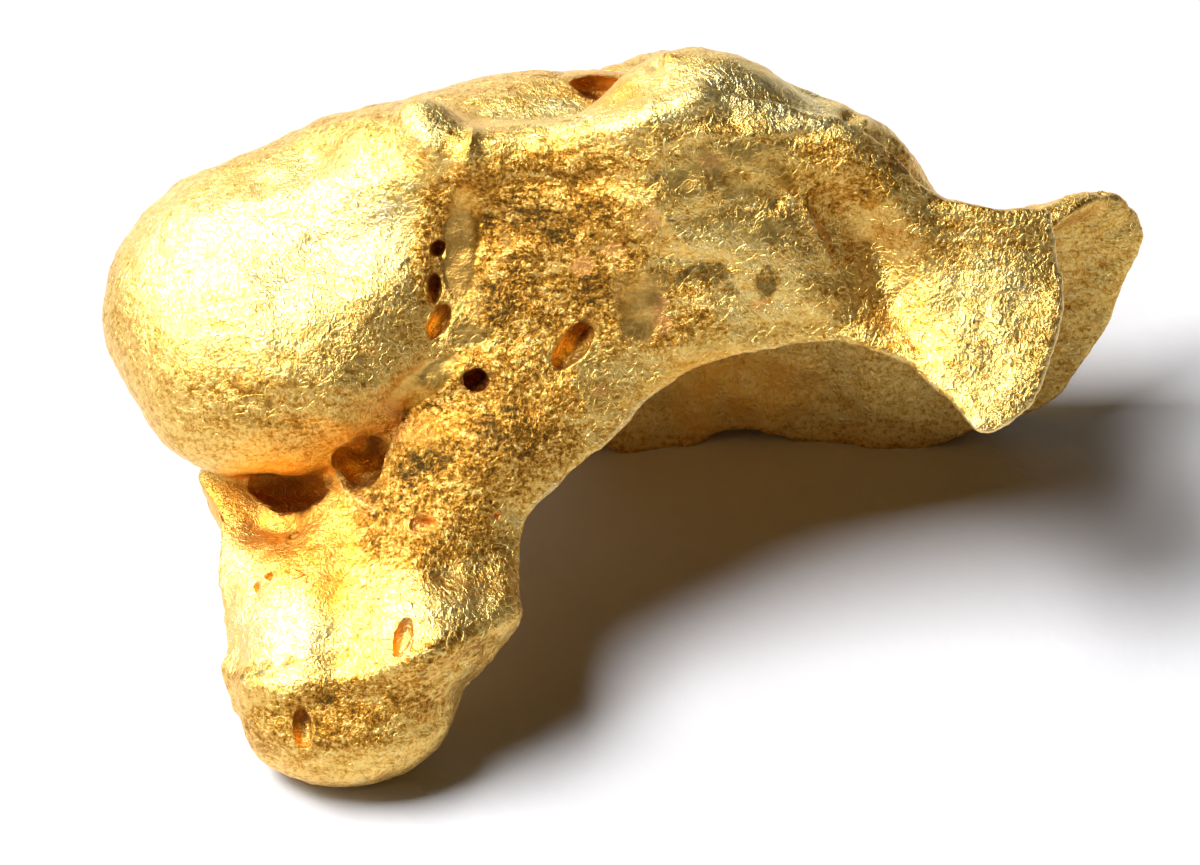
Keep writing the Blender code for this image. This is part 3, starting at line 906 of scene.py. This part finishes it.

# %% Paint the masks
# Ovals: (u, v, half width, half height, turn, strength). Bands: points, half width, strength.
# Black sand and painted shade: dark ovals on the wall, with painted shade on the lower bulb, in a band
# across the foot and in two small dimples.
SOOT_AND_SHADE_OVALS = [
    (-2.73, 10.28, 0.47, 0.51, 10, 0.8),
    (-2.01, 12.27, 0.76, 0.55, 0, 0.7),
    (-1.36, 11.89, 0.47, 0.38, 0, 0.6),
    (-2.46, 7.99, 0.23, 0.17, 0, 1),
    (-2.95, 7.5, 0.59, 0.38, -10, 0.8),
    (-4.11, 7.06, 0.68, 0.38, -20, 0.9),
    (-4.64, 6.68, 0.42, 0.38, 0, 0.8),
    (-4.37, 7.14, 0.25, 0.42, 0, 0.8),
    (-3.05, 7.95, 0.34, 0.3, 0, 0.6),
    (1.72, 10.92, 0.72, 0.32, -8, 1),
    (1.59, 10.88, 0.34, 0.28, 0, 1),
    (3.01, 10.75, 0.28, 0.47, 10, 1),
    (2.35, 10.6, 0.3, 0.21, 0, 0.8),
    (0.76, 10.88, 0.3, 0.3, 0, 0.7),
    (0.34, 9.65, 0.47, 0.3, 0, 0.5),
    (-0.93, 10.6, 0.85, 0.51, 0, 0.5),
    (-1.99, 11.13, 0.64, 0.55, 0, 0.5),
    (-0.51, 12.4, 0.59, 0.42, 0, 0.4),
    (0.66, 9.65, 0.55, 0.42, 0, 0.5),
    (1.61, 9.86, 0.72, 0.42, 0, 0.5),
    (-3.16, 12.08, 0.72, 0.34, -10, 0.6),
    (-3.9, 12.4, 0.55, 0.25, -20, 0.5),
    (-7.5, 2.54, 0.93, 0.23, -14, 0.8),
    (-6.23, 2.01, 1.06, 0.34, -8, 0.6),
    (-4.11, 2.76, 1.06, 0.34, -30, 0.6),
    (-3.26, 3.07, 0.55, 0.55, 0, 0.6),
    (-3.05, 5.19, 0.55, 0.64, 0, 0.4),
    (-5.55, 5.02, 0.34, 0.42, 0, 0.6),
    (-6.06, 4.24, 0.19, 0.34, 0, 0.6),
    (-6.87, 4.52, 0.25, 0.25, 0, 0.5),
    (-7.67, 4.22, 0.3, 0.21, 0, 0.5),
    (-5.17, 6.04, 0.42, 0.34, 0, 0.6),
    (-4.54, 6.25, 0.34, 0.42, 0, 0.6),
    (-3.9, 4.13, 0.64, 0.3, 0, 0.5),
    (-2.2, 7.31, 0.42, 0.55, 0, 0.5),
    (-1.36, 7.31, 0.55, 0.34, -30, 0.4),
    (5.43, 12.83, 0.59, 0.42, -20, 0.6),
    (5.85, 13.25, 0.38, 0.47, 0, 0.6),
    (4.79, 11.34, 0.55, 0.34, 0, 0.5),
    (3.52, 11.55, 0.64, 0.3, 0, 0.4),
    (4.16, 10.49, 0.85, 0.38, 0, 0.4),
    (-8.03, 8.27, 0.85, 0.51, -20, 0.5),
    (-7.08, 7.63, 1.06, 0.42, 10, 0.4),
    (-8.99, 8.16, 0.51, 0.85, -30, 0.3),
    (-0.51, 9.43, 0.42, 0.3, 0, 0.4),
    (-1.67, 10.18, 0.42, 0.42, 0, 0.5),
    (4.73, 14.31, 0.19, 0.17, 0, 0.9),
    (3.33, 12.44, 0.17, 0.25, 10, 0.8),
    (2.88, 13.36, 0.51, 0.17, -10, 0.3),
    (2.04, 12.93, 0.85, 0.25, -8, 0.4),
]
PATINA = [
    (0.59, 10.45, 0.42, 0.55, 0, 0.9),
    (0.34, 9.86, 0.47, 0.55, 0, 0.8),
    (-0.08, 10.6, 0.34, 0.64, 0, 0.6),
    (-3.56, 11.34, 0.42, 1.27, 4, 0.8),
    (-3.26, 10.28, 0.3, 0.76, 8, 0.7),
    (2.35, 13.14, 1.91, 0.55, -6, 0.25),
    (1.4, 12.08, 0.93, 0.42, -20, 0.2),
    (-2.63, 11.34, 0.3, 0.85, 0, 0.4),
    (-1.78, 7.95, 0.64, 0.42, -20, 0.3),
    (-4.75, 6.04, 0.3, 0.42, 0, 0.3),
    (2.57, 11.98, 1.06, 0.55, 0, 0.15),
]
PEACH = [
    (1.84, 13.38, 0.28, 0.19, 10, 1),
    (-0.91, 11.11, 0.28, 0.23, 0, 1),
    (-0.19, 11.47, 0.21, 0.19, 0, 0.8),
    (0.59, 12.0, 0.15, 0.19, 0, 1),
    (-0.25, 11.38, 0.47, 0.34, 0, 0.5),
    (0.51, 12.13, 0.34, 0.47, 0, 0.5),
    (0.81, 9.9, 0.25, 0.25, 0, 1),
    (-0.51, 8.46, 0.21, 0.13, -20, 0.9),
    (-4.96, 8.06, 0.3, 0.21, 0, 0.9),
    (-4.75, 7.53, 0.34, 0.25, 0, 0.6),
    (-4.45, 7.59, 0.64, 0.34, 20, 0.6),
    (-2.71, 5.75, 0.15, 0.11, 0, 1),
    (2.35, 12.08, 0.25, 0.19, 0, 0.4),
    (4.05, 11.94, 0.3, 0.55, -20, 0.5),
    (3.52, 11.24, 0.47, 0.21, 0, 0.5),
    (2.88, 10.28, 0.34, 0.19, 0, 0.6),
    (0.76, 10.28, 0.21, 0.34, 0, 0.7),
    (-4.32, 5.58, 0.38, 0.25, 0, 0.8),
    (-4.71, 3.16, 0.3, 0.55, 14, 0.8),
    (-2.2, 9.33, 0.3, 0.15, 0, 0.6),
    (-1.36, 8.16, 0.25, 0.15, 0, 0.3),
    (-8.88, 11.45, 0.17, 0.25, 0, 0.5),
    (-9.2, 10.28, 0.3, 0.21, 0, 0.2),
    (5.85, 11.87, 0.34, 0.21, 0, 0.5),
    (6.59, 11.09, 0.47, 0.21, 0, 0.4),
    (4.58, 12.3, 0.17, 0.13, 0, 0.5),
    (-2.2, 10.28, 0.19, 0.15, 0, 0.3),
    (-3.69, 6.68, 0.3, 0.21, 0, 0.3),
    (-1.78, 6.89, 0.3, 0.17, 0, 0.3),
]
SMOOTH = [
    (-3.43, 11.64, 0.42, 1.31, 4, 0.9),
    (-3.26, 9.65, 0.64, 0.3, -10, 0.6),
    (2.35, 13.14, 2.12, 0.76, -6, 0.5),
    (2.57, 12.08, 1.48, 0.98, 0, 0.4),
    (-4.32, 8.59, 1.06, 0.38, -34, 1),
    (-7.08, 3.07, 0.85, 0.64, 0, 0.4),
    (-7.67, 4.77, 0.64, 1.27, 0, 0.4),
    (0.34, 10.28, 0.47, 0.72, 0, 0.6),
]
# Rust in the pits and the cavity under the bulb, and painted orange bounce light on the inside of the
# arch.
RUST_AND_BOUNCE_OVALS = [
    (-5.6, 7.1, 0.64, 0.72, 0, 0.6),
    (-7.19, 6.15, 1.48, 0.72, 4, 0.7),
    (-6.4, 6.21, 0.55, 0.64, 0, 0.7),
    (-7.93, 6.04, 1.06, 0.72, 0, 0.9),
    (-7.29, 5.19, 1.06, 0.64, 0, 0.5),
    (-7.55, 4.45, 0.76, 0.64, 0, 0.25),
    (-4.45, 7.59, 0.72, 0.42, 20, 0.35),
    (-4.85, 8.06, 0.51, 0.34, -30, 0.3),
    (-0.42, 14.86, 0.85, 0.42, 4, 0.8),
    (-6.19, 4.66, 0.55, 1.27, 8, 0.55),
    (2.46, 8.48, 1.7, 0.85, 0, 0.7),
    (1.61, 8.16, 0.85, 0.85, 0, 0.6),
    (0.34, 7.74, 0.85, 0.64, 0, 0.2),
]
# Painted highlight: a pale line along the thin rim of the arch and along one ridge of the leg.
RIM_HIGHLIGHT_BANDS = [
    ([(9.03, 12.27), (9.09, 12.02), (9.12, 11.64), (9.22, 11.05), (9.31, 10.32), (9.22, 9.69),
      (9.07, 9.12), (8.82, 8.48), (8.48, 7.93), (8.01, 7.67), (7.74, 7.55), (7.46, 7.65),
      (7.21, 7.93), (6.83, 8.2), (6.4, 8.56), (5.91, 8.95), (5.45, 9.16), (4.85, 9.29),
      (4.52, 9.43), (3.92, 9.41), (3.1, 9.33), (2.54, 9.2), (1.89, 8.99), (1.27, 8.73),
      (0.91, 8.5), (0.34, 8.14), (-0.02, 7.76), (-0.25, 7.44), (-0.55, 7.08), (-0.87, 6.78),
      (-1.27, 6.49), (-1.55, 6.36), (-1.84, 5.98), (-2.06, 5.62)], 0.08, 1),
    ([(-6.15, 6.93), (-5.98, 6.32), (-5.34, 5.87)], 0.11, 0.5),
]
SCRATCHES = [
    ([(0.59, 12.36), (0.93, 12.15), (1.4, 12.23)], 0.03, 1),
    ([(0.66, 11.87), (1.1, 11.72), (1.61, 11.85)], 0.03, 1),
    ([(0.76, 11.43), (1.23, 11.55)], 0.03, 1),
    ([(2.57, 11.36), (3.01, 11.26), (3.48, 11.07)], 0.03, 1),
    ([(3.35, 12.74), (3.52, 12.61), (3.58, 12.36)], 0.03, 1),
    ([(3.9, 12.27), (4.05, 11.91), (4.3, 11.36), (4.39, 11.11)], 0.05, 0.7),
    ([(0.55, 12.78), (1.02, 12.91), (1.4, 12.93)], 0.03, 0.7),
    ([(3.73, 12.91), (4.05, 12.87)], 0.03, 0.6),
    ([(4.96, 14.14), (5.17, 14.08)], 0.04, 0.8),
    ([(-4.32, 3.33), (-4.07, 3.46), (-3.82, 3.29), (-3.9, 3.03), (-4.16, 3.07)], 0.03, 0.7),
    ([(-3.69, 2.86), (-3.43, 3.03), (-3.26, 2.86)], 0.03, 0.6),
    ([(-4.75, 2.01), (-4.45, 1.8), (-4.32, 1.46)], 0.03, 0.6),
    ([(-5.6, 1.8), (-5.34, 1.93), (-5.05, 1.8)], 0.03, 0.6),
    ([(-6.11, 1.8), (-5.89, 2.01), (-5.77, 1.76), (-5.89, 1.55)], 0.03, 0.5),
    ([(-4.11, 1.8), (-3.86, 2.01), (-3.69, 2.31)], 0.03, 0.5),
]
# Painted shade with a red stain: the deep parts and upper walls of the pits darkened to deep red.
PIT_SHADE_AND_RED_OVALS = [
    (-3.16, 8.65, 0.32, 0.32, 0, 1),
    (-3.96, 11.53, 0.19, 0.21, 12, 0.9),
    (-4.05, 10.73, 0.15, 0.25, 0, 0.9),
    (-3.86, 10.18, 0.17, 0.19, 0, 0.7),
    (-0.93, 9.75, 0.23, 0.32, 38, 0.9),
    (-6.83, 1.44, 0.17, 0.19, 0, 0.7),
    (-5.55, 7.31, 0.55, 0.42, 0, 0.5),
    (-6.76, 6.21, 1.19, 0.55, 4, 0.75),
    (-7.04, 5.34, 0.13, 0.13, 0, 0.7),
    (-0.42, 14.9, 0.72, 0.34, 4, 0.8),
    (-4.24, 5.62, 0.15, 0.11, 0, 0.6),
]
# Painted shade: ovals that darken the tone of the broad wall, the leg, the foot and the lower bulb, and
# coarsen the grain and relief there.
SHADE_AND_GRAIN_OVALS = [
    (-1.78, 11.34, 2.33, 2.12, 20, 1),
    (-2.63, 7.74, 1.91, 1.7, -30, 0.9),
    (0.34, 10.28, 1.91, 1.06, 0, 0.6),
    (-3.69, 6.68, 1.06, 1.91, 10, 0.9),
    (-3.9, 11.55, 0.64, 1.48, 0, 1),
    (-4.11, 7.31, 1.27, 1.27, -30, 1),
    (-1.78, 13.12, 2.33, 0.51, -6, 0.9),
    (4.37, 13.04, 1.27, 1.06, 0, 0.6),
    (-6.02, 1.48, 2.33, 0.85, -10, 0.7),
    (7.12, 11.55, 1.06, 0.64, 0, 0.35),
    (-4.32, 5.83, 1.7, 1.27, 0, 0.9),
    (-6.87, 4.77, 1.27, 0.85, 0, 0.4),
    (-8.46, 10.28, 1.27, 0.55, -10, 0.4),
    (-7.72, 8.16, 2.33, 0.85, 0, 0.3),
]
# Painted highlights: ovals that lighten the bulb top, the crest, the leg, the foot's shoulder and the tab,
# where the lamp's reflection falls.
PAINTED_HIGHLIGHT_OVALS = [
    (-8.35, 11.13, 2.33, 1.7, 20, 1),
    (-6.23, 11.98, 1.91, 1.48, 20, 1),
    (-4.22, 14.2, 0.51, 0.51, 0, 0.8),
    (-0.51, 14.42, 2.76, 0.38, -4, 0.7),
    (1.4, 14.95, 1.48, 0.55, 0, 0.8),
    (-7.5, 3.29, 1.27, 1.06, 0, 1),
    (7.97, 8.59, 1.06, 1.06, 20, 0.4),
    (7.65, 10.49, 1.06, 1.06, 10, 0.5),
    (2.46, 10.92, 1.7, 1.06, 0, 0.5),
    (3.1, 14.73, 1.91, 0.64, 18, 1),
    (-3.9, 3.71, 1.27, 0.55, -10, 0.7),
    (-8.14, 4.77, 0.64, 1.91, 0, 0.8),
]


def keep_mask(name, values):
    made = nugget.data.attributes.new(name, "FLOAT", "POINT")
    made.data.foreach_set("value", np.clip(values, 0, 1).astype(np.float32))
    print(f"{name}: {100 * float((values > 0.5).mean()):.1f} % of the points")


def ovals(rows):
    return np.max([row[5] * step(-in_oval(u, v, row), -1.35, -0.55) for row in rows], axis=0)


def bands(rows):
    painted = []
    for points, width, strength in rows:
        near = to_line(u, v, points)[0]
        painted.append(strength * np.exp(-((near / width) ** 2)))
    return np.max(painted, axis=0)


def pit_mask():
    """1 inside the pits, fading just outside their brims."""
    inside = np.zeros(len(upright))
    for place, (_, _, half_width, half_height, deep, turn) in zip(pit_places, HOLES):
        off = upright - np.array(place)
        across, up = turned(off[:, 0], off[:, 2], turn)
        far = np.sqrt((across / half_width) ** 2 + (up / half_height) ** 2 + (off[:, 1] / deep) ** 2)
        inside = np.maximum(inside, step(-far, -1.3, -1.02))
    return inside


front = np.maximum(pale_side, 0)
# The inside of the arch, where painted orange bounce light is laid on with the rust.
under = step(upright[:, 1], 1.2, 3.0) * step(-facing[:, 1], -0.1, 0.5)
keep_mask("dark", front * ovals(SOOT_AND_SHADE_OVALS))
keep_mask("patina", front * ovals(PATINA))
keep_mask("peach", front * ovals(PEACH))
keep_mask("smooth", front * ovals(SMOOTH))
keep_mask("stain", ovals(RUST_AND_BOUNCE_OVALS) * np.maximum(front, under))
keep_mask("cream", front * bands(RIM_HIGHLIGHT_BANDS))
keep_mask("scratches", front * bands(SCRATCHES))
keep_mask("polish", front * ovals(PAINTED_HIGHLIGHT_OVALS))
keep_mask("grime", front * ovals(SHADE_AND_GRAIN_OVALS))
keep_mask("pit", pit_mask())
keep_mask("garnet", ovals(PIT_SHADE_AND_RED_OVALS) * step(pit_mask(), 0.2, 0.7))

# %% [markdown]
# ## Shader maths that reads like maths
# A material is a chain of small sums. The class below wraps a socket, so that a line such as
# `1 - mask * 0.5` adds its Math nodes by itself. Every other node comes from one method, which takes the
# node's type, its settings and its sockets.


# %% The class
class Brush:
    """A socket of the gold's node tree that can be added, scaled and mixed."""

    tree = gold.node_tree

    def __init__(self, socket):
        self.socket = socket

    @classmethod
    def node(cls, kind, settings=None, output=0, **values):
        """One node: its settings first, then its sockets by name, or by i and their number."""
        made = cls.tree.nodes.new(kind)
        for name, value in (settings or {}).items():
            if name == "stops":
                cls.spread(made.color_ramp, value)
            else:
                setattr(made, name, value)
        for name, value in values.items():
            place = int(name[1:]) if name[1:].isdigit() else name.replace("_", " ")
            cls.feed(made.inputs[place], value)
        return cls(made.outputs[output])

    @staticmethod
    def spread(ramp, stops):
        """The ramp's colours, given as (value, colour) from low to high."""
        while len(ramp.elements) < len(stops):
            ramp.elements.new(1.0)
        for element, (at, tint) in zip(ramp.elements, stops):
            element.position = at
            element.color = tint

    @classmethod
    def feed(cls, socket, value):
        if isinstance(value, Brush):
            cls.tree.links.new(value.socket, socket)
        else:
            socket.default_value = value

    @classmethod
    def maths(cls, operation, a, b=0.0, clamp=False):
        return cls.node("ShaderNodeMath", {"operation": operation, "use_clamp": clamp}, i0=a, i1=b)

    def __add__(self, other):
        return self.maths("ADD", self, other)

    __radd__ = __add__

    def __sub__(self, other):
        return self.maths("SUBTRACT", self, other)

    def __rsub__(self, other):
        return self.maths("SUBTRACT", other, self)

    def __mul__(self, other):
        return self.maths("MULTIPLY", self, other)

    __rmul__ = __mul__

    def veins(self, width):
        """1 along the lines where this value is half way, 0 further off than the width."""
        off = self.maths("ABSOLUTE", self - 0.5)
        return (1 - off * (1 / width)).clipped()

    def clipped(self):
        return self.maths("ADD", self, 0.0, clamp=True)

    def above(self, start, end):
        """A smooth rise from 0 at start to 1 at end."""
        return self.node(
            "ShaderNodeMapRange",
            {"interpolation_type": "SMOOTHSTEP"},
            Value=self,
            From_Min=start,
            From_Max=end,
        )

    def over(self, base, top):
        """A base colour with another laid over it by this mask."""
        return self.node(
            "ShaderNodeMix",
            {"data_type": "RGBA"},
            output=2,
            i0=self,
            i6=base,
            i7=top,
        )


def mask(name):
    return Brush.node("ShaderNodeAttribute", {"attribute_name": name}, output=2)


print("brush ready for", Brush.tree.name)

# %% [markdown]
# ## The grain of the metal
# Seen close, worn gold is a crumb of tiny facets with black sand in the gaps. Noise at a tenth of a
# millimetre makes the crumbs and drives the bump, noise stretched along the piece makes flow ripples,
# and thin veins of noise make the curled scratches of the river bed. The same grain darkens the gaps, so
# that light and colour agree. Smooth films fill the gaps, so both fade there.

# %% Grain
place = Brush.node("ShaderNodeTexCoord", output=3)
in_mm = Brush.node("ShaderNodeVectorMath", {"operation": "SCALE"}, i0=place, Scale=1000.0)


def cloud(size, detail=2.0, roughness=0.5, distortion=0.0):
    """Noise with lumps of the given size in mm."""
    return Brush.node(
        "ShaderNodeTexNoise",
        Vector=in_mm,
        Scale=1 / size,
        Detail=detail,
        Roughness=roughness,
        Distortion=distortion,
    )


crumbs = cloud(0.11, 4.0, 0.72, 0.4)
sand = cloud(0.06, 2.0, 0.7)
blots = cloud(0.3, 5.0, 0.7, 0.6)
lumps = cloud(0.5, 2.0, 0.5)
drifts = cloud(1.3, 3.0, 0.6)
curls = cloud(0.30, 1.0, 0.4, 0.5).veins(0.03)
stretched = Brush.node("ShaderNodeVectorMath", {"operation": "MULTIPLY"}, i0=in_mm, i1=(1.6, 5.0, 5.0))
ripples = Brush.node(
    "ShaderNodeTexNoise",
    Vector=stretched,
    Scale=1.0,
    Detail=3.0,
    Roughness=0.6,
    Distortion=0.8,
)

# This mask darkens the tone and coarsens the grain: black sand, and painted shade on the lower bulb and
# across the foot.
dark = (mask("dark") + (drifts - 0.5) * 1.0).above(0.05, 0.85)
smooth = (mask("smooth") + mask("patina") * 0.4 + (lumps - 0.5) * 0.8).above(0.25, 0.8)
pit = mask("pit")
# Painted shade over the wall, leg, foot and lower bulb, which also coarsens the grain.
grime = (mask("grime") + (lumps - 0.5) * 0.5).above(0.1, 0.9)
soot = (mask("dark") * 0.9 + (blots - 0.5) * 2.4 + (crumbs - 0.5) * 0.8 - smooth * 0.25).above(0.55, 1.0)
stain = (mask("stain") * (1 + (lumps - 0.5) * 1.6)).clipped()
peach = (mask("peach") + (crumbs - 0.5) * 1.0).above(0.35, 0.7)
patina = (mask("patina") + (blots - 0.5) * 1.6).above(0.3, 0.9)
cream = (mask("cream") + (crumbs - 0.5) * 1.6).above(0.25, 0.75)
scratches = (mask("scratches") + (sand - 0.5) * 0.8).above(0.4, 0.7)
print("grain laid")

# %% [markdown]
# ## Colour, gloss and relief
# The metal itself is a warm gold. Gaps between crumbs go from deep gold through umber to soot, because
# they hold dirt, and proud crumbs go pale. Painted shade lowers that tone over the wall, the lower bulb
# and the foot, and painted highlights raise it on the bulb top, crest, leg and tab. A colour ramp gives
# that order. Films, rust with painted orange bounce light, the painted shade and red of the pits and a
# painted highlight along the rim are then laid over it, each by its own mask.

# %% Colour
PALE = (1.0, 0.90, 0.62, 1)
BRIGHT = (1.0, 0.78, 0.30, 1)
GOLD = (1.0, 0.66, 0.17, 1)
DEEP_GOLD = (0.62, 0.29, 0.034, 1)
UMBER = (0.30, 0.13, 0.014, 1)
SOOT = (0.085, 0.055, 0.016, 1)
FILM = (0.74, 0.47, 0.13, 1)
# Rust, and the painted orange of light bounced between gold surfaces.
RUST_AND_BOUNCE_ORANGE = (1.0, 0.46, 0.05, 1)
PIT_GOLD = (0.95, 0.56, 0.11, 1)
# Deep red with painted shade, for the bottoms of pits.
SHADED_PIT_RED = (0.24, 0.055, 0.006, 1)
BLUSH = (0.95, 0.47, 0.13, 1)
# The pale colour of the scratches and of the painted rim highlight.
PALE_SCRATCH_AND_HIGHLIGHT = (1.0, 0.78, 0.38, 1)
BUMP_REACH = 0.000042  # metres

crumb = crumbs * 0.5 + sand * 0.2 + ripples * 0.3
contrast = (0.8 + dark * 0.5 + grime * 0.6) * (1 - smooth * 0.6)
tone = 0.55 + (crumb - 0.5) * contrast
# Black sand and painted shade lower the tone, painted highlights raise it, and the curled scratches lift
# it a little.
tone = tone - dark * 0.05 - grime * 0.085 + mask("polish") * 0.1 + curls * 0.05
stops = [(0.30, SOOT), (0.40, UMBER), (0.48, DEEP_GOLD), (0.57, GOLD), (0.66, BRIGHT), (0.76, PALE)]
colour = Brush.node("ShaderNodeValToRGB", {"stops": stops}, Fac=tone)
colour = (soot * 0.75).over(colour, SOOT)
colour = (patina * 0.6).over(colour, FILM)
colour = (peach * 0.7).over(colour, BLUSH)
# Rust, with painted orange bounce light under the arch.
colour = (stain * 0.9).over(colour, RUST_AND_BOUNCE_ORANGE)
colour = (pit * 0.4).over(colour, PIT_GOLD)
# Painted shade with red in the bottoms of the pits.
colour = (mask("garnet") * 0.9).over(colour, SHADED_PIT_RED)
# Painted highlight along the rim and the ridge.
colour = (cream * 0.4).over(colour, PALE_SCRATCH_AND_HIGHLIGHT)
colour = (scratches * 0.6).over(colour, PALE_SCRATCH_AND_HIGHLIGHT)

shader = Brush.tree.nodes["Principled BSDF"]
Brush.feed(shader.inputs["Base Color"], colour)
shader.inputs["Metallic"].default_value = 1
gaps = tone.above(0.45, 0.36)
dullness = 0.35 + gaps * 0.25 + soot * 0.15 + stain * 0.08 + smooth * 0.06
Brush.feed(shader.inputs["Roughness"], dullness.clipped())
grit = 1 - smooth * 0.75
fine = crumbs * (0.85 + grime * 0.5) + sand * (0.35 + grime * 0.25)
height = (fine + ripples * 0.2 + curls * 0.2) * grit + lumps * 0.45 - soot * 0.15
relief_bump = Brush.node(
    "ShaderNodeBump",
    Strength=1.0,
    Distance=BUMP_REACH,
    Height=height,
)
Brush.feed(shader.inputs["Normal"], relief_bump)
print("nodes in the gold:", len(Brush.tree.nodes))

# %% [markdown]
# ## One piece for one node
# The nugget is a single lump of metal, so one object rides on the root and stands in for the whole of the
# model's node. The gold is its only slot, because a nugget has no second material to swap.

# %% Hand over to the frame
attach(nugget, "root")
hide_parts("gold_nugget")

# %% [markdown]
# ## A sheet of paper
# A plain pale sheet lies under the nugget. It is bright, so the gold throws a warm brown into its own
# shadow. A little tooth in the paper keeps that shadow from looking like plastic.

# %% Floor
FLOOR_HALF = 2.0  # metres, half the sheet's side
TOOTH_SIZE, TOOTH_DEPTH = 0.45, 0.012  # mm
PAPER = (0.58, 0.58, 0.60, 1)
floor_mesh = bpy.data.meshes.new("floor")
floor_bm = bmesh.new()
bmesh.ops.create_grid(floor_bm, x_segments=1, y_segments=1, size=FLOOR_HALF)
floor_bm.to_mesh(floor_mesh)
floor_bm.free()
floor = plain_object("floor", floor_mesh)
paper = bpy.data.materials.new("paper")
paper.use_nodes = True
Brush.tree = paper.node_tree
sheet = paper.node_tree.nodes["Principled BSDF"]
sheet.inputs["Base Color"].default_value = PAPER
sheet.inputs["Roughness"].default_value = 0.9
on_sheet = Brush.node("ShaderNodeTexCoord", output=3)
tooth = Brush.node("ShaderNodeTexNoise", Vector=on_sheet, Scale=1 / (TOOTH_SIZE * MM), Detail=3.0)
tooth_bump = Brush.node("ShaderNodeBump", Strength=1.0, Distance=TOOTH_DEPTH * MM, Height=tooth)
Brush.feed(sheet.inputs["Normal"], tooth_bump)
floor.data.materials.append(paper)

# %% [markdown]
# ## Soft studio light
# One large softbox stands high on the left. Its size sets the soft edge of the shadow and its place the
# bright shoulder of the bulb. Two faint strips keep the left side and the back from going black, and the
# world is nearly dark and warm, so that the shadow keeps the colour the gold gives it.

# %% Light
WORLD_TINT, WORLD_STRENGTH = (1, 0.82, 0.6, 1), 0.03
# Softboxes: place, width and height in metres, power in watts. All aim at the origin.
SOFTBOXES = {
    "key": ((-0.54, -0.06, 0.86), 0.54, 0.45, 22),
    "left": ((-0.32, -0.06, 0.13), 0.20, 0.12, 0.15),
    "back": ((-0.12, 0.34, 0.06), 0.40, 0.10, 0.35),
}
scene = bpy.context.scene
world = bpy.data.worlds.new("studio")
scene.world = world
world.use_nodes = True
world.node_tree.nodes["Background"].inputs["Color"].default_value = WORLD_TINT
world.node_tree.nodes["Background"].inputs["Strength"].default_value = WORLD_STRENGTH


def softbox(name, place, width, height, power):
    lamp = bpy.data.lights.new(name, "AREA")
    lamp.shape = "RECTANGLE"
    lamp.size, lamp.size_y = width, height
    lamp.energy = power
    made = bpy.data.objects.new(name, lamp)
    made.location = place
    made.rotation_euler = (-Vector(place)).to_track_quat("-Z", "Y").to_euler()
    scene.collection.objects.link(made)
    return made


for name, (place, width, height, power) in SOFTBOXES.items():
    softbox(name, place, width, height, power)

# %% [markdown]
# ## The view
# The camera looks down at the leaning angle, straight onto the face of the wall. A long lens a foot away
# keeps the near foot and the far tab at the same scale, as a close-up of a small piece does.

# %% Camera
CAMERA_AIM = Vector((-0.000566, -0.001860, 0.005284))
CAMERA_AWAY = 0.3  # metres
SENSOR_WIDTH, LENS = 36, 424.5  # mm
camera = bpy.data.objects.new("camera", bpy.data.cameras.new("camera"))
camera.data.sensor_width = SENSOR_WIDTH
camera.data.lens = LENS
camera.data.clip_start, camera.data.clip_end = 0.01, 10
camera.location = CAMERA_AIM + CAMERA_AWAY * Vector((0, -math.cos(LEAN), math.sin(LEAN)))
camera.rotation_euler = (CAMERA_AIM - camera.location).to_track_quat("-Z", "Y").to_euler()
scene.collection.objects.link(camera)
scene.camera = camera
scene.view_settings.view_transform = "Standard"
